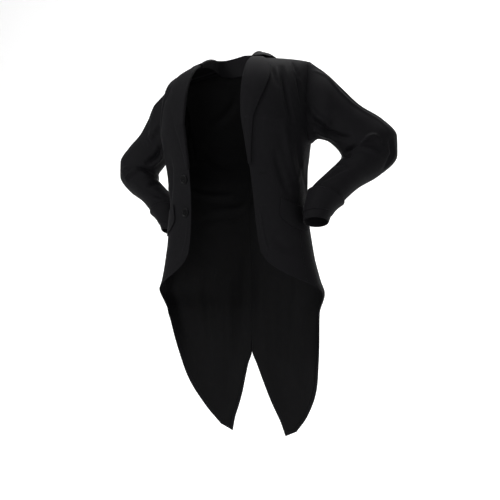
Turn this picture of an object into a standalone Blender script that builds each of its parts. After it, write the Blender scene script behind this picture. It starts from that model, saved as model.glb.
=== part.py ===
"""White tie tailcoat in its worn shape with no wearer: open cutaway front, sleeves bent to the hips, two tails.

Metres, +Z up. The wearer faces -Y and the wearer's left is +X. The origin is the centre of the neck,
level with the neck ends of the shoulder seams, which is where the wearer holds the coat up.
"""

from collections import namedtuple

import bpy
import numpy as np

# Cloth and seams
CLOTH = 0.002
LINING = 0.001
SEAM_GAP = 0.0003
LINING_GAP = 0.0018
LINING_SEAM = 0.0005
LAPEL_GAP = 0.0024
COLLAR_GAP = 0.0036
COLLAR_INSET = 0.0028
FLAP_GAP = 0.0018
SLEEVE_GAP = 0.0010

# Shoulders and neck
CHEST = -0.210
RIDGE = 0.020
NECK_HALF = 0.075
SHOULDER_HALF = 0.205
SHOULDER_SLOPE = 0.14
SHOULDER_DROP = 0.010
FRONT_FULL = 2.4
BACK_FULL = 2.6
CHEST_ROW = -0.198
BEHIND_RIDGE = RIDGE + 1e-6

# The body is a stack of rounded oblongs, one for each height.
Section = namedtuple("Section", "height half_width front_depth back_depth front_square back_square")
TORSO = [
    Section(-0.210, 0.212, 0.160, 0.104, 2.5, 2.5),
    Section(-0.260, 0.206, 0.143, 0.100, 2.4, 2.5),
    Section(-0.330, 0.196, 0.122, 0.092, 2.3, 2.4),
    Section(-0.400, 0.195, 0.106, 0.092, 2.3, 2.4),
    Section(-0.470, 0.203, 0.098, 0.100, 2.2, 2.4),
    Section(-0.560, 0.217, 0.093, 0.110, 2.1, 2.4),
    Section(-0.615, 0.230, 0.091, 0.112, 2.0, 2.5),
    Section(-0.648, 0.241, 0.090, 0.112, 2.0, 2.6),
    Section(-0.700, 0.226, 0.090, 0.110, 2.0, 2.8),
    Section(-0.820, 0.223, 0.090, 0.113, 2.0, 3.2),
    Section(-0.930, 0.224, 0.090, 0.134, 2.0, 3.6),
    Section(-1.070, 0.225, 0.090, 0.166, 2.0, 4.0),
]

# Cut edges of the panels. Angle is in degrees round the body, from 0 at centre front to 180 at centre back.
Cut = namedtuple("Cut", "angle height")
FRONT_EDGE = [
    Cut(27.7, -0.200),
    Cut(31.6, -0.260),
    Cut(36.7, -0.323),
    Cut(42.6, -0.404),
    Cut(46.5, -0.473),
    Cut(49.0, -0.515),
    Cut(51.2, -0.540),
]
CUTAWAY_HEM = [
    Cut(51.2, -0.540),
    Cut(56.0, -0.562),
    Cut(63.0, -0.581),
    Cut(74.6, -0.607),
    Cut(80.5, -0.619),
]
SKIRT_CORNER = [
    Cut(80.5, -0.619),
    Cut(85.5, -0.632),
    Cut(90.0, -0.648),
    Cut(92.6, -0.668),
    Cut(94.0, -0.692),
]
ARMHOLE_FRONT = [Cut(80.5, -0.050), Cut(79.6, -0.100), Cut(80.2, -0.170), Cut(84.0, -0.232)]
ARMHOLE_BASE = [Cut(84.0, -0.232), Cut(90.0, -0.247), Cut(97.0, -0.245), Cut(104.0, -0.225)]
ARMHOLE_BACK = [Cut(105.0, -0.050), Cut(109.5, -0.100), Cut(109.5, -0.170), Cut(104.0, -0.225)]
FRONT_SIDE_SEAM = [Cut(84.0, -0.232), Cut(79.5, -0.350), Cut(79.0, -0.470), Cut(80.5, -0.619)]
BACK_SIDE_SEAM = [Cut(104.0, -0.225), Cut(101.0, -0.380), Cut(97.0, -0.560), Cut(94.0, -0.692)]
TAIL_OUTER = [
    Cut(94.0, -0.692),
    Cut(104.3, -0.806),
    Cut(114.7, -0.900),
    Cut(131.0, -0.998),
    Cut(142.7, -1.049),
]
TAIL_VENT = [Cut(180.0, -0.815), Cut(170.8, -0.874), Cut(161.1, -0.967), Cut(155.4, -1.019), Cut(152.8, -1.067)]

# Neckline and collar, in plan: x across and y from front (-) to back (+), left half, front to back.
Neck = namedtuple("Neck", "x y stand fall_x fall_y")
NECKLINE = [
    Neck(0.0765, -0.070, 0.006, 0.118, -0.056),
    Neck(0.0758, -0.040, 0.015, 0.121, -0.034),
    Neck(0.0752, -0.005, 0.025, 0.121, 0.000),
    Neck(0.0750, 0.020, 0.030, 0.117, 0.028),
    Neck(0.0700, 0.040, 0.037, 0.101, 0.054),
    Neck(0.0550, 0.053, 0.044, 0.074, 0.073),
    Neck(0.0300, 0.060, 0.050, 0.040, 0.081),
    Neck(0.0000, 0.062, 0.052, 0.000, 0.083),
]

# Collar: how far its stand leans in for its height, how far it starts below the neckline, the fold's
# top and outer points past the stand's top, and the fall's bulge
Offset = namedtuple("Offset", "out up")
COLLAR_LEAN = 0.12
COLLAR_BELOW = 0.002
COLLAR_FOLD = [Offset(0.0012, 0.0042), Offset(0.0050, 0.0022)]
COLLAR_BELLY = Offset(0.002, 0.003)

# Lapel: how far across its outer edge lies at each height. It folds on the front edge.
LapelRow = namedtuple("LapelRow", "height outer_x")
LAPEL = [
    LapelRow(-0.021, 0.106),
    LapelRow(-0.042, 0.130),
    LapelRow(-0.062, 0.138),
    LapelRow(-0.090, 0.141),
    LapelRow(-0.120, 0.136),
    LapelRow(-0.150, 0.128),
    LapelRow(-0.180, 0.118),
    LapelRow(-0.215, 0.108),
    LapelRow(-0.260, 0.099),
    LapelRow(-0.318, 0.0905),
]
LAPEL_ROWS = 11

# Lapel columns: share of the way across, and how far the wall's middle lies off the front.
# The first two columns roll past the fold by these lengths.
LapelColumn = namedtuple("LapelColumn", "share lift")
LAPEL_LAY = CLOTH + LAPEL_GAP + CLOTH / 2
LAPEL_COLUMNS = [
    LapelColumn(0.0, 0.0008),
    LapelColumn(0.0, LAPEL_LAY),
    LapelColumn(0.34, LAPEL_LAY + 0.0010),
    LapelColumn(0.67, LAPEL_LAY + 0.0012),
    LapelColumn(1.0, LAPEL_LAY),
]
LAPEL_ROLL = [0.0022, 0.0002]

# Sleeve: crook-side point, elbow-side point and half breadth of each ring, from shoulder to cuff end.
Ring = namedtuple("Ring", "station in_x in_y in_z out_x out_y out_z half_breadth")
SLEEVE = [
    Ring(1.0, 0.236, -0.004, -0.239, 0.233, 0.034, -0.053, 0.053),
    Ring(2.0, 0.258, 0.006, -0.242, 0.277, 0.050, -0.099, 0.053),
    Ring(3.0, 0.277, 0.013, -0.256, 0.327, 0.066, -0.152, 0.053),
    Ring(4.0, 0.289, 0.017, -0.272, 0.382, 0.084, -0.190, 0.054),
    Ring(5.0, 0.294, 0.018, -0.285, 0.420, 0.090, -0.239, 0.055),
    Ring(6.0, 0.292, 0.014, -0.297, 0.421, 0.082, -0.290, 0.054),
    Ring(7.0, 0.281, 0.003, -0.314, 0.384, 0.050, -0.338, 0.052),
    Ring(8.0, 0.256, -0.019, -0.344, 0.335, 0.018, -0.373, 0.049),
    Ring(9.0, 0.224, -0.043, -0.386, 0.297, -0.011, -0.415, 0.046),
    Ring(10.0, 0.213, -0.062, -0.444, 0.272, -0.025, -0.447, 0.041),
    Ring(11.0, 0.213, -0.064, -0.464, 0.264, -0.031, -0.470, 0.039),
]

# The right arm hangs closer and its hand rests further back: how far its rings lie back and in from the left's.
Rest = namedtuple("Rest", "station back inward")
RIGHT_REST = [
    Rest(0.0, 0.000, 0.000),
    Rest(1.0, 0.000, 0.005),
    Rest(2.0, 0.000, 0.012),
    Rest(3.0, 0.000, 0.013),
    Rest(4.0, 0.000, 0.007),
    Rest(5.0, 0.000, 0.001),
    Rest(6.0, 0.006, 0.001),
    Rest(7.0, 0.024, 0.003),
    Rest(8.0, 0.052, 0.005),
    Rest(9.0, 0.080, 0.005),
    Rest(10.0, 0.098, 0.006),
    Rest(11.0, 0.103, 0.007),
]
BREADTH_AXIS = np.array([0.442, -0.852, 0.190]) / np.linalg.norm([0.442, -0.852, 0.190])
SLEEVE_ROWS = [0.5, 1.0, 2.0, 3.0, 4.0, 5.0, 6.0, 7.0, 8.0, 9.0, 9.5, 10.0, 11.0]
CUFF_ROWS = [9.0, 9.5, 10.0]
CUFF_GAP = 0.0005
HIND_SEAM_COLUMN = 1
INNER_SEAM_COLUMN = 8

# Pocket flap, slanting down to the side
FLAP_TOP = [Cut(65.0, -0.404), Cut(78.0, -0.421), Cut(88.0, -0.430)]
FLAP_BOTTOM = [Cut(64.6, -0.446), Cut(67.0, -0.458), Cut(76.0, -0.480), Cut(85.6, -0.487), Cut(87.7, -0.480)]

# Buttons on the wearer's right front. The profile is shares of the radius and the thickness.
BUTTON_RADIUS = 0.012
BUTTON_THICK = 0.004
BUTTON_FROM_EDGE = 0.019
BUTTON_PROFILE = [(0, 0), (0.6, 0), (1, 0.15), (1, 0.5), (0.88, 0.7), (0.7, 0.45), (0, 0.45)]
BUTTON_HEIGHTS = {"button_upper": -0.343, "button_lower": -0.430}

# Lining stops short of the edges, where the cloth is turned in.
TURN_IN = 0.012
SKIRT_TURN_IN = 0.050
NECK_FACING = 0.010

# Rows and columns of the panels' grids
SHOULDER_ROWS = 5
FRONT_COLUMNS = 8
SIDE_COLUMNS = 4
BACK_COLUMNS = 8
LOWER_ROWS = 9
VENT_START_ROWS = 3
VENT_ROWS = 6
COLLAR_COLUMNS = 9
FLAP_COLUMNS = 6
FLAP_ROWS = 4
BUTTON_SIDES = 20

# Steps in degrees and metres for slopes, girth to a degree, and the least share of a cell left by an inset
TURN_STEP = 0.2
DROP_STEP = 0.0002
DEGREE_GIRTH = 0.0035
LEAST_SHARE = 0.02


def through(knots, values, at):
    """A smooth curve with no overshoot through the knots (cubic Hermite, harmonic mean slopes)."""
    knots = np.asarray(knots, float)
    values = np.asarray(values, float)
    at = np.asarray(at, float)
    if knots[0] > knots[-1]:
        knots, values = knots[::-1], values[::-1]
    shape = (-1,) + (1,) * (values.ndim - 1)
    step = np.diff(knots).reshape(shape)
    rise = np.diff(values, axis=0) / step
    a, b = rise[:-1], rise[1:]
    w = (step[:-1] + 2 * step[1:], 2 * step[:-1] + step[1:])
    same = a * b > 0
    safe_a = np.where(same, a, 1.0)
    safe_b = np.where(same, b, 1.0)
    middle = np.where(same, (w[0] + w[1]) / (w[1] / safe_a + w[0] / safe_b), 0.0)
    slope = np.concatenate([rise[:1], middle, rise[-1:]])
    i = np.clip(np.searchsorted(knots, at, side="right") - 1, 0, len(knots) - 2)
    span = step[i].reshape(at.shape + (1,) * (values.ndim - 1))
    t = np.clip((at - knots[i]) / (knots[i + 1] - knots[i]), 0, 1).reshape(span.shape)
    return (
        (2 * t**3 - 3 * t**2 + 1) * values[i]
        + (t**3 - 2 * t**2 + t) * span * slope[i]
        + (3 * t**2 - 2 * t**3) * values[i + 1]
        + (t**3 - t**2) * span * slope[i + 1]
    )


HEIGHTS = np.array([row.height for row in TORSO])
SIZES = np.array([row[1:] for row in TORSO])


def sizes_at(height):
    """Half width, front and back depth, and front and back squareness at each height."""
    size = through(HEIGHTS, SIZES, np.clip(height, HEIGHTS[-1], CHEST))
    return np.moveaxis(size, -1, 0)


def body(cuts):
    """The body's surface at (angle, height): a superellipse that closes on the shoulder seam above the chest."""
    angle = np.radians(cuts[..., 0])
    height = cuts[..., 1]
    half, front, back, front_square, back_square = sizes_at(height)
    sine, cosine = np.sin(angle), np.cos(angle)
    ahead = cosine > 0
    depth = np.where(ahead, front, back)
    square = np.where(ahead, front_square, back_square)
    radius = (np.abs(sine / half) ** square + np.abs(cosine / depth) ** square) ** (-1 / square)
    x = radius * sine
    rise = np.clip(1 - height / CHEST, 0, 1)
    full = np.where(ahead, FRONT_FULL, BACK_FULL)
    closing = np.clip(1 - rise**full, 0, 1) ** (1 / full)
    y = RIDGE + (-radius * cosine - RIDGE) * closing
    z = height - (SHOULDER_DROP + SHOULDER_SLOPE * (np.abs(x) - NECK_HALF)) * rise
    return np.stack([x, y, z], -1)


def body_normal(cuts):
    """Outward unit normals of the body's surface, from its slopes in angle and height."""
    cuts = np.array(cuts, float)
    cuts[..., 1] = np.minimum(cuts[..., 1], -2 * DROP_STEP)
    turn = np.array([TURN_STEP, 0.0])
    drop = np.array([0.0, DROP_STEP])
    along = body(cuts + turn) - body(cuts - turn)
    down = body(cuts - drop) - body(cuts + drop)
    normal = np.cross(down, along)
    return normal / np.linalg.norm(normal, axis=-1, keepdims=True)


def plan_to_cut(x, y):
    """The (angle, height) above the chest whose surface point lies over (x, y)."""
    half, front, back, front_square, back_square = SIZES[0]
    ahead = y <= RIDGE
    depth = np.where(ahead, front, back)
    square = np.where(ahead, front_square, back_square)
    full = np.where(ahead, FRONT_FULL, BACK_FULL)
    reach = depth * (1 - np.abs(x / half) ** square) ** (1 / square)
    side = np.where(ahead, -1.0, 1.0)
    closing = np.clip((y - RIDGE) / (side * reach - RIDGE), 0, 1)
    rise = (1 - closing**full) ** (1 / full)
    angle = np.degrees(np.arctan2(x, -side * reach))
    return np.stack([angle, CHEST * (1 - rise)], -1)


def across_to_cut(x, height):
    """The (angle, height) on the front at which the surface lies x across."""
    half, front, _, square, _ = sizes_at(height)
    reach = front * (1 - (x / half) ** square) ** (1 / square)
    return np.stack([np.degrees(np.arctan2(x, reach)), height], -1)


def cuts_through(rows, heights):
    """Points of a cut edge at the given heights."""
    rows = np.array(rows, float)
    return np.stack([through(rows[:, 1], rows[:, 0], heights), heights], -1)


def along(rows, count):
    """Points evenly spaced along a cut edge."""
    rows = np.array(rows, float)
    metric = rows * [DEGREE_GIRTH, 1.0]
    distance = np.concatenate([[0], np.cumsum(np.linalg.norm(np.diff(metric, axis=0), axis=1))])
    return through(distance, rows, np.linspace(0, distance[-1], count + 1))


def shoulder_heights(bottom):
    """Heights from the shoulder seam down to bottom, closest where the shoulder is roundest."""
    turn = np.radians(np.linspace(0, 90, SHOULDER_ROWS + 1))
    rows = CHEST * (1 - np.cos(turn) ** (2 / FRONT_FULL))
    return np.concatenate([rows[:-1] * CHEST_ROW / CHEST, [CHEST_ROW, bottom]])


def fill(left, right, top, bottom):
    """A Coons patch: rows from left and right edges, columns from top and bottom edges."""
    rows, columns = len(left), len(top)
    v = np.linspace(0, 1, rows)[:, None, None]
    u = np.linspace(0, 1, columns)[None, :, None]
    ruled = (1 - u) * left[:, None] + u * right[:, None]
    raised = (1 - v) * top[None] + v * bottom[None]
    corners = (1 - v) * ((1 - u) * top[0] + u * top[-1]) + v * ((1 - u) * bottom[0] + u * bottom[-1])
    return ruled + raised - corners


def trim(points, edges, gap=SEAM_GAP / 2):
    """Draws the named edges of a grid in by half a seam gap."""
    points = points.copy()
    moves = {"top": (0, 1), "bottom": (-1, -2)}
    for edge in edges:
        if edge in moves:
            edge_row, next_row = moves[edge]
            step = points[next_row] - points[edge_row]
            points[edge_row] += gap * step / np.linalg.norm(step, axis=-1, keepdims=True)
        else:
            column, beside = (0, 1) if edge == "left" else (-1, -2)
            step = points[:, beside] - points[:, column]
            points[:, column] += gap * step / np.linalg.norm(step, axis=-1, keepdims=True)
    return points


def grid_normals(points, wrap=False):
    """Unit normals of a grid from its own slopes; columns join up when wrap is set."""
    down = np.gradient(points, axis=0)
    if wrap:
        aside = np.roll(points, -1, axis=1) - np.roll(points, 1, axis=1)
    else:
        aside = np.gradient(points, axis=1)
    normal = np.cross(down, aside)
    return normal / np.maximum(np.linalg.norm(normal, axis=-1, keepdims=True), 1e-12)


def mirrored(points, side):
    """The same points on the wearer's left (side 1) or right (side -1)."""
    return points * [side, 1, 1]


def new_object(name, vertices, triangles, material):
    """A closed mesh with its faces turned out, added to the scene."""
    corners = vertices[triangles]
    volume = np.einsum("ij,ij->i", corners[:, 0], np.cross(corners[:, 1], corners[:, 2])).sum()
    if volume < 0:
        triangles = triangles[:, ::-1]
    mesh = bpy.data.meshes.new(name)
    mesh.from_pydata(vertices.tolist(), [], triangles.tolist())
    mesh.shade_smooth()
    mesh.set_sharp_from_angle(angle=np.radians(40))
    mesh.materials.append(material)
    piece = bpy.data.objects.new(name, mesh)
    bpy.context.scene.collection.objects.link(piece)
    return piece


def wall(name, low, high, material, wrap=False):
    """A closed wall between two grids of points, low on the inside and high on the outside."""
    rows, columns = low.shape[:2]
    index = np.arange(rows * columns).reshape(rows, columns)
    if wrap:
        index = np.concatenate([index, index[:, :1]], axis=1)
    a, b = index[:-1, :-1].ravel(), index[1:, :-1].ravel()
    c, d = index[1:, 1:].ravel(), index[:-1, 1:].ravel()
    sheet = np.concatenate([np.stack([a, b, c], 1), np.stack([a, c, d], 1)])
    high_start = rows * columns
    if wrap:
        loops = [index[0], index[-1][::-1]]
    else:
        ring = np.concatenate([index[0, :-1], index[:-1, -1], index[-1, :0:-1], index[::-1, 0]])
        loops = [ring]
    rims = []
    for loop in loops:
        p, q = loop[:-1], loop[1:]
        rims += [np.stack([p, q + high_start, q], 1), np.stack([p, p + high_start, q + high_start], 1)]
    triangles = np.concatenate([sheet + high_start, sheet[:, ::-1]] + rims)
    vertices = np.concatenate([low.reshape(-1, 3), high.reshape(-1, 3)])
    return new_object(name, vertices, triangles, material)


def cloth_panel(name, cuts, edges, side, material, low=0.0, high=CLOTH):
    """A wall of cloth on the body's surface, between two distances out from it."""
    points = trim(body(cuts), edges)
    normals = body_normal(cuts)
    wall(name, mirrored(points + normals * low, side), mirrored(points + normals * high, side), material)


def new_material(name, colour, roughness, sheen=0.0):
    material = bpy.data.materials.new(name)
    material.use_nodes = True
    shader = material.node_tree.nodes["Principled BSDF"]
    shader.inputs["Base Color"].default_value = (*colour, 1)
    shader.inputs["Roughness"].default_value = roughness
    shader.inputs["Metallic"].default_value = 0.0
    shader.inputs["Sheen Weight"].default_value = sheen
    return material


# Edges shared by the panels, worked out once on the left side.


def neck_cuts():
    """The neckline's (angle, height) at each row of the neckline table."""
    rows = np.array(NECKLINE)
    return plan_to_cut(rows[:, 0], rows[:, 1])


def front_edge_cuts():
    """The whole front edge from the shoulder seam down: neckline, then front edge."""
    return list(neck_cuts()[:4][::-1]) + FRONT_EDGE


def front_rows():
    """Front panel edges: left is the neckline and front edge, right is the armhole and side seam."""
    armhole = shoulder_heights(ARMHOLE_FRONT[-1].height)
    seam = np.linspace(ARMHOLE_FRONT[-1].height, FRONT_SIDE_SEAM[-1].height, LOWER_ROWS + 1)[1:]
    shoulder_end = plan_to_cut(np.array([SHOULDER_HALF]), np.array([RIDGE]))[0]
    right = np.concatenate(
        [
            cuts_through([shoulder_end] + ARMHOLE_FRONT, armhole),
            cuts_through(FRONT_SIDE_SEAM, seam),
        ]
    )
    lower = np.linspace(armhole[-1], FRONT_EDGE[-1].height, LOWER_ROWS + 1)[1:]
    left = cuts_through(front_edge_cuts(), np.concatenate([armhole, lower]))
    return left, right


def back_rows():
    """Back panel edges: left is the armhole, side seam and tail's outer edge; right is the centre back."""
    armhole = shoulder_heights(ARMHOLE_BACK[-1].height)
    seam = np.linspace(ARMHOLE_BACK[-1].height, BACK_SIDE_SEAM[-1].height, LOWER_ROWS + 1)[1:]
    tail_start, tail_end = TAIL_OUTER[0].height, TAIL_OUTER[-1].height
    vent_top, vent_end = TAIL_VENT[0].height, TAIL_VENT[-1].height
    upper_tail = np.linspace(tail_start, vent_top, VENT_START_ROWS + 1)[1:]
    shoulder_end = plan_to_cut(np.array([SHOULDER_HALF]), np.array([RIDGE + 1e-6]))[0]
    outer = np.concatenate(
        [
            cuts_through([shoulder_end] + ARMHOLE_BACK, armhole),
            cuts_through(BACK_SIDE_SEAM, seam),
            cuts_through(TAIL_OUTER, upper_tail),
            cuts_through(TAIL_OUTER, np.linspace(vent_top, tail_end, VENT_ROWS + 1)[1:]),
        ]
    )
    nape = neck_cuts()[-1]
    centre_heights = np.concatenate([armhole, seam, upper_tail])
    centre_heights = nape[1] + (vent_top - nape[1]) * (centre_heights / vent_top)
    centre = np.stack([np.full(len(centre_heights), 180.0), centre_heights], -1)
    vent = cuts_through(TAIL_VENT, np.linspace(vent_top, vent_end, VENT_ROWS + 1)[1:])
    return outer, np.concatenate([centre, vent])


def front_cuts():
    left, right = front_rows()
    width = np.linspace(NECK_HALF, SHOULDER_HALF, FRONT_COLUMNS + 1)
    top = plan_to_cut(width, np.full_like(width, RIDGE))
    left[0], right[0] = top[0], top[-1]
    return fill(left, right, top, along(CUTAWAY_HEM, FRONT_COLUMNS))


def side_cuts():
    seam = np.linspace(FRONT_SIDE_SEAM[0].height, FRONT_SIDE_SEAM[-1].height, LOWER_ROWS + 1)
    back_seam = np.linspace(BACK_SIDE_SEAM[0].height, BACK_SIDE_SEAM[-1].height, LOWER_ROWS + 1)
    return fill(
        cuts_through(FRONT_SIDE_SEAM, seam),
        cuts_through(BACK_SIDE_SEAM, back_seam),
        along(ARMHOLE_BASE, SIDE_COLUMNS),
        along(SKIRT_CORNER, SIDE_COLUMNS),
    )


def back_cuts():
    outer, centre = back_rows()
    neck = neck_cuts()[3:]
    shoulder = np.linspace(SHOULDER_HALF, NECK_HALF, 6)
    top = np.concatenate([plan_to_cut(shoulder, np.full_like(shoulder, BEHIND_RIDGE)), neck[1:]])
    spread = np.linspace(0, len(top) - 1, BACK_COLUMNS + 1)
    top = through(np.arange(len(top)), top, spread)
    outer[0], centre[0] = top[0], top[-1]
    hem = np.array([TAIL_OUTER[-1], TAIL_VENT[-1]])
    bottom = hem[0] + (hem[1] - hem[0]) * np.linspace(0, 1, BACK_COLUMNS + 1)[:, None]
    return fill(outer, centre, top, bottom)


def armhole_ring():
    """Points and normals round the armhole: down the front, under the arm and up the back."""
    front = front_cuts()[: SHOULDER_ROWS + 2, -1]
    base = side_cuts()[0]
    back = back_cuts()[: SHOULDER_ROWS + 2, 0][::-1]
    ring = np.concatenate([front[:-1], base[:-1], back[:-1]])
    normal = body_normal(ring)
    normal[0, 1] = 0
    normal[0] /= np.linalg.norm(normal[0])
    return body(ring), normal


def rest_shift(side):
    """How far each ring is moved from the left sleeve's place, on that side's own left-hand frame."""
    rest = np.array(RIGHT_REST)
    stations = [ring.station for ring in SLEEVE]
    back, inward = through(rest[:, 0], rest[:, 1:], stations).T
    return np.stack([-inward, back, np.zeros(len(SLEEVE))], -1) * (side < 0)


def sleeve_grid(stations, side):
    """Sleeve points and normals at each station and each armhole point, before they are mirrored."""
    start, normal = armhole_ring()
    lengths = np.linalg.norm(np.roll(start, -1, axis=0) - start, axis=1)
    turn = 2 * np.pi * np.concatenate([[0], np.cumsum(lengths)[:-1]]) / lengths.sum()
    table = np.array(SLEEVE)
    inner, outer, breadth = table[:, 1:4], table[:, 4:7], table[:, 7]
    middle = (inner + outer) / 2 + rest_shift(side)
    reach = (outer - inner) / 2
    rings = (
        middle[:, None]
        + reach[:, None] * np.cos(turn)[None, :, None]
        + BREADTH_AXIS * breadth[:, None, None] * np.sin(turn)[None, :, None]
    )
    lift = CLOTH + SLEEVE_GAP
    knots = np.concatenate([[0.0], table[:, 0]])
    draft = through(knots, np.concatenate([(start + normal * lift)[None], rings]), [0.0, 0.5, 1.0])
    facing = -grid_normals(draft, wrap=True)[0]
    into_body = np.maximum(0, -(facing * normal).sum(-1, keepdims=True))
    head = start + normal * (lift + CLOTH * into_body)
    grid = through(knots, np.concatenate([head[None], rings]), np.array([0.0] + list(stations)))
    return grid, -grid_normals(grid, wrap=True)


def sleeve_pieces(side, material):
    """Upper and under sleeve, parted along the hind-arm seam and the seam opposite."""
    grid, normals = sleeve_grid(SLEEVE_ROWS, side)
    count = grid.shape[1]
    label = "left" if side > 0 else "right"
    spans = {
        "upper_sleeve": np.arange(HIND_SEAM_COLUMN, INNER_SEAM_COLUMN + 1),
        "under_sleeve": np.arange(INNER_SEAM_COLUMN, HIND_SEAM_COLUMN + count + 1) % count,
    }
    for name, columns in spans.items():
        points = trim(grid[:, columns], ["left", "right"], SEAM_GAP)
        low = mirrored(points, side)
        high = mirrored(points + normals[:, columns] * CLOTH, side)
        wall(f"{name}_{label}", low, high, material)


def cuff(side, material):
    """A turned-back cuff: the sleeve's own rings moved out."""
    grid, normals = sleeve_grid(SLEEVE_ROWS, side)
    rows = [SLEEVE_ROWS.index(station) + 1 for station in CUFF_ROWS]
    points, out = grid[rows], normals[rows]
    low = points + out * (CLOTH + CUFF_GAP)
    high = points + out * (2 * CLOTH + CUFF_GAP)
    name = "cuff_left" if side > 0 else "cuff_right"
    wall(name, mirrored(low, side), mirrored(high, side), material, wrap=True)


def collar(material):
    """Stand and fall in one: up from the neckline, over a round fold and down onto the shoulders."""
    table = np.array(NECKLINE)
    half = through(np.arange(len(table)), table, np.linspace(0, len(table) - 1, COLLAR_COLUMNS + 1))
    x, y, stand, fall_x, fall_y = half.T
    base = body(plan_to_cut(x, y))
    rest_cuts = plan_to_cut(fall_x, fall_y)
    rest = body(rest_cuts) + body_normal(rest_cuts) * (CLOTH + COLLAR_GAP + CLOTH / 2)
    out = rest - base
    out[:, 2] = 0
    out /= np.linalg.norm(out, axis=1, keepdims=True)
    up = np.array([0, 0, 1.0])
    stand = stand[:, None]
    lean = COLLAR_LEAN * stand
    section = [
        base - out * COLLAR_INSET - up * COLLAR_BELOW,
        base - out * (COLLAR_INSET + lean / 2) + up * stand / 2,
        base - out * (COLLAR_INSET + lean) + up * stand,
    ]
    section += [base + out * (fold.out - lean) + up * (stand + fold.up) for fold in COLLAR_FOLD]
    belly = (section[-1] + rest) / 2 + up * COLLAR_BELLY.up + out * COLLAR_BELLY.out
    section += [belly, rest]
    left = np.stack(section, axis=1)
    right = mirrored(left[-2::-1], -1)
    points = np.concatenate([left, right])
    normals = grid_normals(points)
    wall("collar", points - normals * CLOTH / 2, points + normals * CLOTH / 2, material)


def lapel(side, material):
    """The front folded back: a strip that rolls round the front edge and lies on the front."""
    table = np.array(LAPEL)
    heights = np.concatenate([table[:1, 0], np.linspace(table[1, 0], table[-1, 0], LAPEL_ROWS)])
    outer = through(table[:, 0], table[:, 1], heights)
    edge = cuts_through(front_edge_cuts(), heights)
    far = across_to_cut(outer, np.minimum(heights, CHEST))
    far[:, 1] = heights
    share, lift = np.array(LAPEL_COLUMNS).T
    cuts = edge[:, None] + (far - edge)[:, None] * share[None, :, None]
    points = body(cuts)
    normals = body_normal(cuts)
    across = points[:, 3] - points[:, 0]
    across /= np.linalg.norm(across, axis=1, keepdims=True)
    points = points + normals * lift[None, :, None]
    for column, roll in enumerate(LAPEL_ROLL):
        points[:, column] -= across * roll
    facing = grid_normals(points)
    facing *= np.sign((facing[:, -1:] * normals[:, -1:]).sum(-1, keepdims=True))
    name = "lapel_left" if side > 0 else "lapel_right"
    low, high = points - facing * CLOTH / 2, points + facing * CLOTH / 2
    wall(name, mirrored(low, side), mirrored(high, side), material)


def flap(side, material):
    """A pocket flap: the body's surface under it moved out."""
    top = along(FLAP_TOP, FLAP_COLUMNS)
    bottom = along(FLAP_BOTTOM, FLAP_COLUMNS)
    v = np.linspace(0, 1, FLAP_ROWS)[:, None, None]
    cuts = top[None] * (1 - v) + bottom[None] * v
    low = CLOTH + FLAP_GAP
    name = "flap_left" if side > 0 else "flap_right"
    cloth_panel(name, cuts, [], side, material, low, low + CLOTH)


def button(name, height, material):
    """A turned disc with a raised rim and a dished middle, lying on the wearer's right front."""
    edge = body(cuts_through(front_edge_cuts(), np.array([height])))
    x = edge[0, 0] + BUTTON_FROM_EDGE
    cut = across_to_cut(x, np.array([height]))
    seat = body(cut)[0] * [-1, 1, 1]
    axis = body_normal(cut)[0] * [-1, 1, 1]
    aside = np.cross(axis, [0, 0, 1.0])
    aside /= np.linalg.norm(aside)
    upward = np.cross(aside, axis)
    profile = np.array(BUTTON_PROFILE) * [BUTTON_RADIUS, BUTTON_THICK]
    profile[:, 1] += CLOTH + 2 * SEAM_GAP
    turn = np.linspace(0, 2 * np.pi, BUTTON_SIDES, endpoint=False)
    rings = np.array(
        [
            seat + axis * rise + out * (aside * np.cos(a) + upward * np.sin(a))
            for out, rise in profile[1:-1]
            for a in turn
        ]
    )
    vertices = np.concatenate([rings, [seat + axis * profile[0, 1], seat + axis * profile[-1, 1]]])
    count, levels = len(turn), len(profile) - 2
    triangles = []
    for k in range(count):
        n = (k + 1) % count
        triangles += [(count * levels, n, k), (count * levels + 1, (levels - 1) * count + k, (levels - 1) * count + n)]
        for level in range(levels - 1):
            a, b = level * count + k, level * count + n
            triangles += [(a, b, b + count), (a, b + count, a + count)]
    new_object(name, vertices, np.array(triangles), material)


def along_rows(grid, at):
    """The grid's rows read at fractional row numbers, straight between rows."""
    low = np.clip(np.floor(at).astype(int), 0, len(grid) - 2)
    share = (at - low)[:, None, None]
    return grid[low] * (1 - share) + grid[low + 1] * share


def inset(points, normals, top, bottom, left, right):
    """Points and normals on the same facets, drawn in by these lengths in metres at each edge."""
    rows, columns = points.shape[:2]
    steps = np.linalg.norm(np.diff(points, axis=0), axis=-1).mean(1)
    distance = np.concatenate([[0], np.cumsum(steps)])
    v = np.arange(rows, dtype=float)
    v[0] = np.interp(top, distance, np.arange(rows))
    v[-1] = np.interp(distance[-1] - bottom, distance, np.arange(rows))
    v = np.clip(v, v[0] + LEAST_SHARE * np.arange(rows), v[-1] - LEAST_SHARE * np.arange(rows)[::-1])
    both = along_rows(np.concatenate([points, normals], -1), v)
    width = np.linalg.norm(np.diff(both[..., :3], axis=1), axis=-1).sum(1)
    result = np.empty_like(both)
    for row in range(rows):
        u = np.arange(columns, dtype=float)
        u[0] = left[row] / width[row] * (columns - 1)
        u[-1] -= right[row] / width[row] * (columns - 1)
        u = np.clip(u, u[0] + LEAST_SHARE * np.arange(columns), u[-1] - LEAST_SHARE * np.arange(columns)[::-1])
        result[row] = along_rows(both[row][:, None], u)[:, 0]
    return result[..., :3], result[..., 3:]


def lining(name, cuts, top, bottom, left, right, side, material):
    """A thin wall just inside a panel's own facets."""
    points, normals = inset(body(cuts), body_normal(cuts), top, bottom, left, right)
    low = points - normals * (LINING_GAP + LINING)
    high = points - normals * LINING_GAP
    wall(name, mirrored(low, side), mirrored(high, side), material)


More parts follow.
